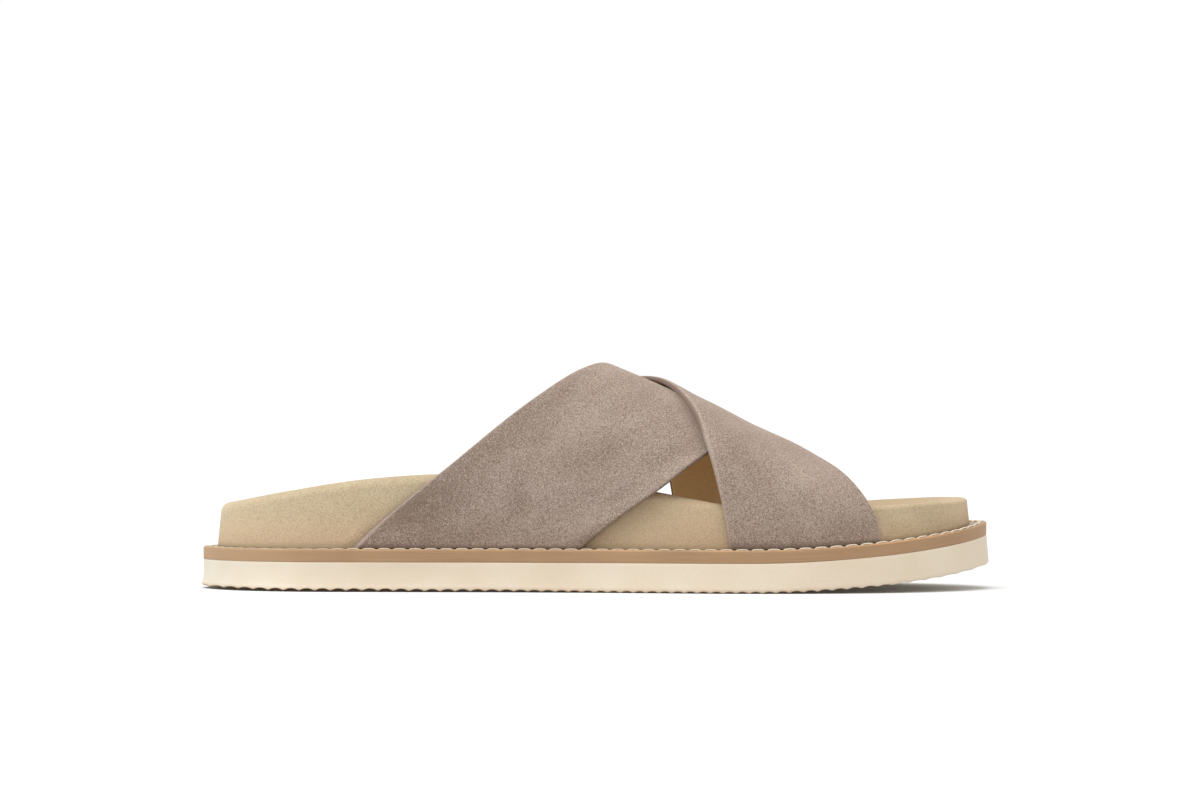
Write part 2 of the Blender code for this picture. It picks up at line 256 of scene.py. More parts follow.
# Painted light and shade on the footbed: a painted shadow beside the rear strap's foot, painted light on the
# lower heel wall and on the toe end, and a lighter spot low in the window.
FOOTBED_PAINTED_LIGHT_AND_SHADE = table(
    BellRow,
    (-0.0872, 0.0164, 48.0, 0.0036, 0.0012, -0.60, 0.0),
    (-0.0824, 0.0208, 48.0, 0.0050, 0.0011, -0.28, 0.0),
    (-0.1020, 0.0175, 0.0, 0.0460, 0.0085, 0.26, 0.0),
    (0.0150, 0.0185, 0.0, 0.0120, 0.0060, 0.22, 0.0),
    (0.1330, 0.0300, 90.0, 0.0090, 0.0075, 0.28, 0.0),
)


def column(rows: Sequence[NamedTuple], name: str) -> Array:
    """One named column of a table, as an array."""
    return np.array([getattr(row, name) for row in rows])


def ease(t: Array) -> Array:
    """Runs from 0 to 1 with a level start and end."""
    t = np.clip(t, 0.0, 1.0)
    return t * t * (3 - 2 * t)


class Slope(NamedTuple):
    """A change that eases in from start over run: where run is negative, it grows towards lower numbers."""

    size: float
    start: float
    run: float

    def __call__(self, at: Array) -> Array:
        """The change at each place."""
        return self.size * ease((at - self.start) / self.run)


def unit(vectors: Array) -> Array:
    """Vectors scaled to length one."""
    return vectors / np.linalg.norm(vectors, axis=-1, keepdims=True)


def run_length(points: Array) -> Array:
    """Length walked along a line of points, from 0 at its start."""
    return np.concatenate([[0.0], np.cumsum(np.linalg.norm(np.diff(points, axis=0), axis=1))])


def read_along(at: Array, knots: Array, values: Array) -> Array:
    """Straight interpolation of each column of values."""
    return np.stack([np.interp(at, knots, part) for part in values.T], axis=-1)


def bells(points: Array, rows: Sequence[BellRow]) -> tuple[Array, Array]:
    """Sums bells, each over its length and width, alike on both sides of the foot: creases, nap patches, and
    painted light and shade.

    Args:
        points: Points of a surface.
        rows: The bells.

    Returns:
        Change of tone and change of height at each point.
    """
    tone, height = np.zeros(points.shape[:-1]), np.zeros(points.shape[:-1])
    for row in rows:
        turn = math.radians(row.heading)
        x, z = points[..., 0] - row.x, points[..., 2] - row.z
        along = (x * math.cos(turn) + z * math.sin(turn)) / row.length
        across = (z * math.cos(turn) - x * math.sin(turn)) / row.width
        share = np.exp(-(along**2) - across**2)
        tone += row.tone * share
        height += row.height * share
    return tone, height


@dataclass(frozen=True)
class SmoothCurve:
    """Cubic curve through knots: the slope at each knot comes from the knots beside it."""

    knots: Array
    values: Array

    @classmethod
    def through(cls, rows: Sequence[NamedTuple], knot: str, value: str) -> "SmoothCurve":
        """Curve through two named columns of a table."""
        return cls(column(rows, knot), column(rows, value))

    def __call__(self, at: Array) -> Array:
        """Height of the curve: a Hermite blend of the two knots round each place.

        Args:
            at: Places to read, held inside the first and last knot.

        Returns:
            The curve's value at each place.
        """
        slopes = np.gradient(self.values, self.knots)
        at = np.clip(at, self.knots[0], self.knots[-1])
        i = np.clip(np.searchsorted(self.knots, at, side="right") - 1, 0, len(self.knots) - 2)
        span = self.knots[i + 1] - self.knots[i]
        t = (at - self.knots[i]) / span
        rise = ease(t)
        bend = t * (1 - t) * ((1 - t) * slopes[i] - t * slopes[i + 1])
        return (1 - rise) * self.values[i] + rise * self.values[i + 1] + span * bend


class Value:
    """A shader socket that can stand in a sum: each operator adds one Math node."""

    def __init__(self, graph: "Graph", socket: bpy.types.NodeSocket) -> None:
        """Wraps an output socket of a node in graph."""
        self.graph = graph
        self.socket = socket

    def _math(self, operation: str, first: Any, second: Any) -> "Value":
        """Math node on two numbers or sockets."""
        return self.graph.node("ShaderNodeMath", {"operation": operation}, {0: first, 1: second})

    def __add__(self, other: Any) -> "Value":
        """This plus other."""
        return self._math("ADD", self, other)

    def __sub__(self, other: Any) -> "Value":
        """This minus other."""
        return self._math("SUBTRACT", self, other)

    def __rsub__(self, other: Any) -> "Value":
        """Other minus this."""
        return self._math("SUBTRACT", other, self)

    def __mul__(self, other: Any) -> "Value":
        """This times other."""
        return self._math("MULTIPLY", self, other)

    def __truediv__(self, other: Any) -> "Value":
        """This divided by other."""
        return self._math("DIVIDE", self, other)

    def __pow__(self, other: Any) -> "Value":
        """This to the power of other."""
        return self._math("POWER", self, other)

    __radd__ = __add__
    __rmul__ = __mul__


class Graph:
    """The nodes of one material, round a Principled shader."""

    def __init__(self, name: str) -> None:
        """Starts a material with an empty Principled shader.

        Args:
            name: The material's name.
        """
        self.material = bpy.data.materials.new(name)
        self.material.use_nodes = True
        self.tree = self.material.node_tree
        self.shader = self.tree.nodes["Principled BSDF"]

    def feed(self, socket: bpy.types.NodeSocket, value: Any) -> None:
        """Links a Value to a socket, or sets the socket's own number, vector or colour.

        Args:
            socket: The socket to fill.
            value: What it gets.
        """
        if isinstance(value, Value):
            self.tree.links.new(value.socket, socket)
        elif socket.type == "RGBA":
            socket.default_value = (*value, 1.0)
        else:
            socket.default_value = value

    def node(self, kind: str, settings: dict[str, Any], sockets: dict[Any, Any], output: Any = 0) -> Value:
        """Adds a node.

        Args:
            kind: The node's type.
            settings: Its own settings.
            sockets: Values or links of its inputs, by name or number.
            output: Name or number of the output that is returned.

        Returns:
            The chosen output.
        """
        made = self.tree.nodes.new(kind)
        for name, value in settings.items():
            setattr(made, name, value)
        for key, value in sockets.items():
            self.feed(made.inputs[key], value)
        return Value(self, made.outputs[output])

    def place(self) -> Value:
        """The point on the piece, in the sandal's own metres."""
        return self.node("ShaderNodeTexCoord", {}, {}, "Object")

    def axis(self, letter: str) -> Value:
        """One number of the point on the piece, named X, Y or Z."""
        return self.node("ShaderNodeSeparateXYZ", {}, {0: self.place()}, letter)

    def attribute(self, name: str) -> Value:
        """A number kept at the mesh's points."""
        return self.node("ShaderNodeAttribute", {"attribute_name": name}, {}, "Fac")

    def vector(self, x: Any, y: Any, z: Any) -> Value:
        """A vector from three numbers or sockets."""
        return self.node("ShaderNodeCombineXYZ", {}, {0: x, 1: y, 2: z})

    def noise(self, place: Value, size: float, detail: float = 2.0, roughness: float = 0.5) -> Value:
        """Soft random field from 0 to 1, with lumps about size across."""
        sockets = {"Vector": place, "Scale": 1.0 / size, "Detail": detail, "Roughness": roughness}
        return self.node("ShaderNodeTexNoise", {}, sockets)

    def between(self, value: Value, limits: Limits) -> Value:
        """Share of the way from the first limit to the second, eased and held inside 0 and 1."""
        sockets = {"Value": value, "From Min": limits[0], "From Max": limits[1]}
        return self.node("ShaderNodeMapRange", {"interpolation_type": "SMOOTHSTEP"}, sockets)

    def mix(self, share: Any, first: Any, second: Any, blend: str = "MIX") -> Value:
        """Colour from first to second, or to their product with MULTIPLY, as share runs from 0 to 1."""
        settings = {"data_type": "RGBA", "blend_type": blend}
        return self.node("ShaderNodeMix", settings, {0: share, 6: first, 7: second}, 2)

    def bump(self, height: Value, depth: float) -> Value:
        """Normal of a relief: depth is the height in metres that a change of 1 stands for."""
        return self.node("ShaderNodeBump", {}, {"Strength": 1.0, "Distance": depth, "Height": height})

    def finish(self, sockets: dict[str, Any]) -> bpy.types.Material:
        """Sets or links the shader's sockets.

        Args:
            sockets: What each socket gets, by name.

        Returns:
            The material.
        """
        for name, value in sockets.items():
            self.feed(self.shader.inputs[name], value)
        return self.material


@dataclass(frozen=True)
class SuedeFinish:
    """Brushed suede: short fibres, soft clouds where the nap lies another way, and a smoother turned edge.

    The painted strip is painted light and shade: a highlight along the straps' edges, and warm shade on the
    footbed between the straps. A colour that is left white has no place on the piece.
    """

    name: str
    dark: Colour
    light: Colour
    grain: float
    cloud: float
    grain_share: float
    cloud_share: float
    nap_depth: float
    sheen: float
    # Colour of the turned edge: its own darker colour, and partly painted shade.
    edge: Colour = WHITE
    hem: Colour = WHITE
    painted_strip: Colour = WHITE
    painted_strip_share: float = 0.0
    painted_strip_limits: Limits = (0.0, 1.0)
    foot: Colour = WHITE
    foot_limits: Limits = (0.0, 1.0)
    foot_sway: float = 0.02
    hem_share: float = 0.8
    cloud_stretch: float = 0.55
    fibre_size: float = 0.5
    patch_size: float = 3.1
    turned_limits: Limits = (0.08, 0.4)
    # Painted shade on the lower half of the turned edge.
    lower_limits: Limits = (0.35, 0.85)
    lower_end: Limits = (0.96, 1.0)
    lower_share: float = 0.85
    grain_relief: float = 0.6
    edge_relief: float = 0.15
    edge_roughness: float = 0.68
    nap_roughness: float = 0.24

    def material(self) -> bpy.types.Material:
        """Tone is a weighted sum of fine grain and stretched clouds, with painted shade darker at the foot.

        The turned edge is plainer and darker, its own colour and partly painted shade, under a painted
        highlight line, and its lower half takes the painted shade colour. The number named depth runs from 0
        on the outer face to 1 on the inner face.

        Returns:
            The finished material.
        """
        graph = Graph(self.name)
        place = graph.place()
        along = graph.attribute("along") * self.cloud_stretch
        lengthwise = graph.vector(along, graph.attribute("across"), 0.0)
        grain = graph.noise(place, self.grain, detail=3.0, roughness=0.65)
        fibre = graph.noise(place, self.grain * self.fibre_size, roughness=0.6)
        cloud = graph.noise(lengthwise, self.cloud, detail=3.0, roughness=0.55)
        patch = graph.noise(lengthwise, self.cloud * self.patch_size, detail=1.0)
        tone = 0.5 + (grain + fibre - 1.0) * self.grain_share + (cloud + patch - 1.0) * self.cloud_share
        # Nap patches and painted light and shade from the listed bells.
        tone = tone + graph.attribute("patch")
        face = graph.mix(graph.between(tone, (0.0, 1.0)), self.dark, self.light)
        # Painted shade: darker towards the foot.
        low = 1.0 - graph.between(graph.axis("Z") + (patch - 0.5) * self.foot_sway, self.foot_limits)
        face = graph.mix(low, face, self.foot, "MULTIPLY")
        # Painted shade at the feet of the straps and of the footbed's wall, and beside the other strap's rear
        # edge.
        face = graph.mix(graph.attribute("hem") * self.hem_share, face, self.hem)
        depth = graph.attribute("depth")
        turned = graph.between(depth, self.turned_limits)
        nap = 1.0 - turned
        # Painted strip: a highlight along the straps' edges, and warm shade on the footbed between the straps.
        painted_strip = 1.0 - graph.between(graph.attribute("edge"), self.painted_strip_limits)
        face = graph.mix(painted_strip * nap * self.painted_strip_share, face, self.painted_strip)
        # The turned edge's darker colour, partly painted shade.
        face = graph.mix(turned, face, self.edge)
        # Painted shade on the lower half of the turned edge.
        lower = graph.between(depth, self.lower_limits) * (1.0 - graph.between(depth, self.lower_end))
        relief = grain * self.grain_relief + fibre * (1 - self.grain_relief)
        relief = relief * (nap * (1 - self.edge_relief) + self.edge_relief)
        return graph.finish(
            {
                "Base Color": graph.mix(lower * self.lower_share, face, self.hem),
                "Roughness": self.edge_roughness + nap * self.nap_roughness,
                "Normal": graph.bump(relief, self.nap_depth),
                "Specular IOR Level": 0.25,
                "Sheen Weight": self.sheen,
                "Sheen Roughness": 0.45,
                "Sheen Tint": self.light,
            }
        )


@dataclass(frozen=True)
class WeltFinish:
    """Tan leather with fine grain lines along the sole and a warm, rubbed top edge."""

    name: str = "welt_leather"
    dark: Colour = (0.269, 0.150, 0.075)
    light: Colour = (0.357, 0.217, 0.117)
    top: Colour = (0.317, 0.227, 0.156)
    rubbed: Colour = (0.465, 0.245, 0.101)
    rubbed_share: float = 0.7
    # Painted light: lighter at the heel end and at the toe end.
    heel_painted_light: float = 0.14
    heel_limits: Limits = (-0.140, -0.085)
    toe_tone: float = 0.16
    toe_limits: Limits = (0.128, 0.140)
    line_length: float = 0.030
    line_height: float = 0.00035
    line_depth: float = 0.00005
    line_share: float = 0.65
    cloud: float = 0.018
    cloud_share: float = 0.45
    tone_limits: Limits = (0.25, 0.85)
    top_limits: Limits = (0.0002, 0.0009)
    rim_rise: Limits = (-0.0010, -0.0001)
    rim_fall: Limits = (0.0003, 0.0010)
    worn_clouds: Limits = (0.40, 0.62)
    worn_heel: Limits = (-0.110, -0.050)
    worn_toe: Limits = (0.122, 0.138)
    roughness: float = 0.50
    line_roughness: float = 0.16

    def material(self) -> bpy.types.Material:
        """Grain is noise stretched along the edge; tones and tints follow height and place on the foot.

        The number named ledge is the distance in from the rounded top edge, negative down the side.

        Returns:
            The finished material.
        """
        graph = Graph(self.name)
        along = graph.attribute("along") / self.line_length
        lines = graph.vector(along, graph.attribute("rise") / self.line_height, 0.0)
        grain = graph.noise(lines, 1.0, detail=4.0, roughness=0.6)
        cloud = graph.noise(graph.place(), self.cloud)
        x = graph.axis("X")
        # Painted light: lighter at the heel end and at the toe end.
        at_ends = (1.0 - graph.between(x, self.heel_limits)) * self.heel_painted_light
        at_ends = at_ends + graph.between(x, self.toe_limits) * self.toe_tone
        tone = graph.between(grain * self.line_share + cloud * self.cloud_share + at_ends, self.tone_limits)
        ledge = graph.attribute("ledge")
        colour = graph.mix(tone, self.dark, self.light)
        colour = graph.mix(graph.between(ledge, self.top_limits), colour, self.top)
        worn = graph.between(ledge, self.rim_rise) * (1.0 - graph.between(ledge, self.rim_fall))
        worn = worn * graph.between(cloud, self.worn_clouds)
        worn = worn * graph.between(x, self.worn_heel) * (1.0 - graph.between(x, self.worn_toe))
        return graph.finish(
            {
                "Base Color": graph.mix(worn * self.rubbed_share, colour, self.rubbed),
                "Roughness": self.roughness + grain * self.line_roughness,
                "Normal": graph.bump(grain, self.line_depth),
                "Specular IOR Level": 0.35,
            }
        )


@dataclass(frozen=True)
class FoamFinish:
    """Cream moulded foam: even, with faint clouds, fine cells and a satin skin."""

    name: str = "outsole_foam"
    dark: Colour = (0.578, 0.466, 0.344)
    light: Colour = (0.628, 0.532, 0.415)
    # Painted shade along the tread's edge.
    shade: Colour = (0.372, 0.217, 0.115)
    shade_share: float = 0.8
    # Painted cool light at the heel end, and a cooler tint at the toe end.
    heel_tint: Colour = (0.93, 0.967, 1.0)
    heel_limits: Limits = (-0.143, -0.110)
    toe_tint: Colour = (1.0, 1.03, 1.03)
    toe_limits: Limits = (0.080, 0.120)
    cloud: float = 0.024
    cloud_share: float = 0.7
    cell: float = 0.0007
    cell_depth: float = 0.00003
    tone_limits: Limits = (0.25, 0.75)
    roughness: float = 0.46
    cell_roughness: float = 0.14

    def material(self) -> bpy.types.Material:
        """Tone is broad clouds with a little fine cell noise, and painted brown shade along the tread's edge.

        Returns:
            The finished material.
        """
        graph = Graph(self.name)
        cloud = graph.noise(graph.place(), self.cloud)
        cell = graph.noise(graph.place(), self.cell)
        tone = graph.between(cloud * self.cloud_share + cell * (1 - self.cloud_share), self.tone_limits)
        face = graph.mix(tone, self.dark, self.light)
        x = graph.axis("X")
        # Painted cool light at the heel end, and a cooler tint at the toe end.
        face = graph.mix(1.0 - graph.between(x, self.heel_limits), face, self.heel_tint, "MULTIPLY")
        face = graph.mix(graph.between(x, self.toe_limits), face, self.toe_tint, "MULTIPLY")
        return graph.finish(
            {
                "Base Color": graph.mix(graph.attribute("low") * self.shade_share, face, self.shade),
                "Roughness": self.roughness + cell * self.cell_roughness,
                "Normal": graph.bump(cell, self.cell_depth),
                "Specular IOR Level": 0.4,
            }
        )


@dataclass(frozen=True)
class ThreadFinish:
    """Waxed cream thread with a visible twist."""

    name: str = "welt_thread"
    dark: Colour = (0.420, 0.332, 0.235)
    light: Colour = (0.672, 0.589, 0.470)
    ply_length: float = 0.0011
    plies: int = 3
    ply_depth: float = 0.00012
    ply_power: float = 0.5

    def material(self) -> bpy.types.Material:
        """The twist is a sine of the length plus the turn round the thread.

        Returns:
            The finished material.
        """
        graph = Graph(self.name)
        phase = graph.attribute("along") / self.ply_length + graph.attribute("turn") * self.plies
        wave = graph.node("ShaderNodeMath", {"operation": "SINE"}, {0: phase * math.tau})
        twist = (wave * 0.5 + 0.5) ** self.ply_power
        return graph.finish(
            {
                "Base Color": graph.mix(twist, self.dark, self.light),
                "Roughness": 0.62,
                "Normal": graph.bump(twist, self.ply_depth),
                "Specular IOR Level": 0.35,
            }
        )


@dataclass(frozen=True)
class FloorFinish:
    """Plain pale studio floor, faintly lit from below so that shadows on it stay open."""

    name: str = "studio_floor"
    colour: Colour = (0.63, 0.63, 0.63)
    roughness: float = 0.9
    glow: Colour = (1.0, 0.92, 0.80)
    glow_strength: float = 0.03

    def material(self) -> bpy.types.Material:
        """One even colour with an even glow.

        Returns:
            The finished material.
        """
        sockets = {"Base Color": self.colour, "Roughness": self.roughness}
        sockets |= {"Emission Color": self.glow, "Emission Strength": self.glow_strength}
        return Graph(self.name).finish(sockets)


UPPER_SUEDE = SuedeFinish(
    name="upper_suede",
    dark=(0.153, 0.102, 0.075),
    light=(0.357, 0.282, 0.230),
    grain=0.00064,
    cloud=0.011,
    grain_share=1.5,
    cloud_share=0.42,
    nap_depth=0.00018,
    sheen=0.40,
    # The turned edge's colour, partly painted shade; painted shade at the feet and beside the other strap; a
    # painted highlight along the edges; painted shade towards the foot.
    edge=(0.157, 0.099, 0.073),
    hem=(0.105, 0.067, 0.051),
    painted_strip=(0.473, 0.365, 0.311),
    painted_strip_share=0.2,
    painted_strip_limits=(0.00027, 0.0009),
    foot=(0.96, 0.92, 0.89),
    foot_limits=(0.014, 0.034),
)
FOOTBED_SUEDE = SuedeFinish(
    name="footbed_suede",
    dark=(0.318, 0.238, 0.143),
    light=(0.489, 0.393, 0.262),
    grain=0.00062,
    cloud=0.014,
    grain_share=1.4,
    cloud_share=0.45,
    nap_depth=0.00012,
    sheen=0.10,
    # Painted shade at the wall's foot, painted warm shade between the straps, and painted shade towards the
    # foot.
    hem=(0.340, 0.255, 0.160),
    painted_strip=(0.392, 0.264, 0.160),
    painted_strip_share=0.35,
    painted_strip_limits=(0.0108, 0.036),
    foot=(0.97, 0.867, 0.832),
    foot_limits=(0.014, 0.037),
)
LINING_SUEDE = SuedeFinish(
    name="lining_suede",
    dark=(0.513, 0.298, 0.125),
    light=(0.687, 0.446, 0.217),
    grain=0.0007,
    cloud=0.012,
    grain_share=0.7,
    cloud_share=0.4,
    nap_depth=0.00012,
    sheen=0.08,
)


@dataclass
class Piece:
    """One visible mesh of the sandal, with the numbers at its points that its finish reads."""

    name: str
    points: Array
    faces: Array
    numbers: dict[str, Array] = field(default_factory=dict)
    sharp_degrees: float = 50.0

    def build(self, material: bpy.types.Material) -> bpy.types.Object:
        """Makes the closed mesh: doubled points are merged and the faces turned outwards.

        Args:
            material: The finish of the whole piece.

        Returns:
            The object, at the origin and riding on the sandal's body.
        """
        mesh = bpy.data.meshes.new(self.name)
        mesh.from_pydata(self.points.reshape(-1, 3).tolist(), [], self.faces.tolist())
        for name, values in self.numbers.items():
            kept = mesh.attributes.new(name, "FLOAT", "POINT")
            kept.data.foreach_set("value", np.ascontiguousarray(values, np.float32).ravel())
        work = bmesh.new()
        work.from_mesh(mesh)
        bmesh.ops.remove_doubles(work, verts=work.verts, dist=WELD)
        bmesh.ops.recalc_face_normals(work, faces=work.faces)
        work.to_mesh(mesh)
        work.free()
        mesh.shade_smooth()
        mesh.set_sharp_from_angle(angle=math.radians(self.sharp_degrees))
        mesh.materials.append(material)
        made = bpy.data.objects.new(self.name, mesh)
        bpy.context.scene.collection.objects.link(made)
        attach(made, BODY)
        LOG.info("%s: %d faces", self.name, len(mesh.polygons))
        return made


def ring_faces(rings: int, size: int) -> Array:
    """Quads between neighbouring closed rings of points.

    Args:
        rings: How many rings follow each other.
        size: How many points each ring has.

    Returns:
        Point numbers of each quad.
    """
    i, j = np.meshgrid(np.arange(rings - 1), np.arange(size), indexing="ij")
    here = i * size + j
    beside = i * size + (j + 1) % size
    return np.stack([here, beside, beside + size, here + size], axis=-1).reshape(-1, 4)


def capped_faces(rings: int, size: int) -> Array:
    """Quads between closed rings, with both ends closed by strips across the first and last ring.

    Args:
        rings: How many rings follow each other.
        size: How many points each ring has.

    Returns:
        Point numbers of each quad.
    """
    j = np.arange(size // 2 - 1)
    strip = np.stack([j, j + 1, size - 2 - j, size - 1 - j], axis=1)
    return np.concatenate([ring_faces(rings, size), strip[:, ::-1], strip + (rings - 1) * size])


def there_and_back(over: Array, under: Array) -> Array:
    """Rings that run along the rows of one face and come back along those of another."""
    return np.concatenate([over, under[:, ::-1]], axis=1)


@dataclass(frozen=True)
class SoleForm:
    """What every layer shares: the footbed's outline, the toe spring and the heights of the layers."""

    footbed_length: float = 0.2732
    ball_width: float = 0.0966
    footbed_setback: float = 0.0005
    welt_ledge: float = 0.0057
    welt_top: float = 0.0152
    outsole_top: float = 0.0106
    seat_gap: float = 0.0003
    spring_rise: float = 0.0092
    spring_start: float = 0.054
    spring_end: float = 0.142
    spring_ease: float = 2.0
    spring_twist: float = 4.3
    outline_steps: int = 2880
    middle_steps: int = 200

    @cached_property
    def walk(self) -> tuple[Array, Array]:
        """Closed line round the footbed, from the heel along the medial side: a smooth curve through OUTLINE.

        Returns:
            The line's points and the directions out of it.
        """
        along = (column(OUTLINE, "along") - 0.5) * self.footbed_length
        across = column(OUTLINE, "across") * self.ball_width
        ring = np.tile(np.stack([along, across], axis=1), (3, 1))
        walked = run_length(ring)
        at = np.linspace(walked[len(OUTLINE)], walked[2 * len(OUTLINE)], self.outline_steps, endpoint=False)
        line = np.stack([SmoothCurve(walked, part)(at) for part in ring.T], axis=1)
        line -= (line.max(axis=0) + line.min(axis=0)) / 2
        line = np.roll(line, -line[:, 0].argmin(), axis=0)
        way = np.roll(line, -1, axis=0) - np.roll(line, 1, axis=0)
        return line, unit(np.stack([way[:, 1], -way[:, 0]], axis=1))

    def half(self, side: Side) -> tuple[Array, Array]:
        """One side of the outline, from the heel's end to the toe's end.

        Args:
            side: Medial or lateral.

        Returns:
            The side's points and the directions out of it.
        """
        line, out = self.walk
        toe = line[:, 0].argmax()
        if side is Side.MEDIAL:
            return line[: toe + 1], out[: toe + 1]
        around = np.r_[toe : len(line), 0][::-1]
        return line[around], out[around]

    def across(self, grow: float, side: Side, x: Array) -> Array:
        """Where one side of the outline, grown outwards, lies across the foot.

        Args:
            grow: How far the outline grows.
            side: Medial or lateral.
            x: Places along the foot.

        Returns:
            The y at each place.
        """
        points, out = self.half(side)
        grown = points + grow * out
        return np.interp(x, np.maximum.accumulate(grown[:, 0]), grown[:, 1])

    def stations(self, count: int) -> Array:
        """Places along the foot that are evenly spaced round the outline, so the round ends stay round.

        Args:
            count: How many stations run from heel to toe.

        Returns:
            The x of each station.
        """
        medial, _ = self.half(Side.MEDIAL)
        lateral, _ = self.half(Side.LATERAL)
        facing = np.interp(medial[:, 0], lateral[:, 0], run_length(lateral))
        walked = (run_length(medial) + facing) / 2
        return np.interp(np.linspace(0, walked[-1], count), walked, medial[:, 0])

    def edge(self, x: Array, side: Side) -> tuple[Array, Array, Array]:
        """Reads one side of the outline.

        Args:
            x: Places along the foot.
            side: Medial or lateral.

        Returns:
            Points of the outline, the directions out of it, and the length walked from the heel.
        """
        points, out = self.half(side)
        place = np.interp(x, points[:, 0], np.arange(len(points)))
        steps = np.arange(len(points))
        walked = np.interp(place, steps, run_length(points))
        return read_along(place, steps, points), unit(read_along(place, steps, out)), walked

    def toe_spring(self, x: Array, y: Array) -> Array:
        """Rise of every layer towards the toe: it eases in at the ball, and is greater on the lateral side.

        Args:
            x: Place along the foot.
            y: Place across the foot.

        Returns:
            The rise at each place.
        """
        t = np.clip((x - self.spring_start) / (self.spring_end - self.spring_start), 0, None)
        rise = self.spring_rise * (1 + self.spring_ease) * t * t / (t + self.spring_ease)
        return rise * (1 + self.spring_twist * y)

    @cached_property
    def middle_line(self) -> SmoothCurve:
        """Middle of the foot between its two sides, as y by x.

        Returns:
            The curve.
        """
        along = self.walk[0][:, 0]
        x = np.linspace(along.min(), along.max(), self.middle_steps)
        return SmoothCurve(x, (self.across(0.0, Side.MEDIAL, x) + self.across(0.0, Side.LATERAL, x)) / 2)


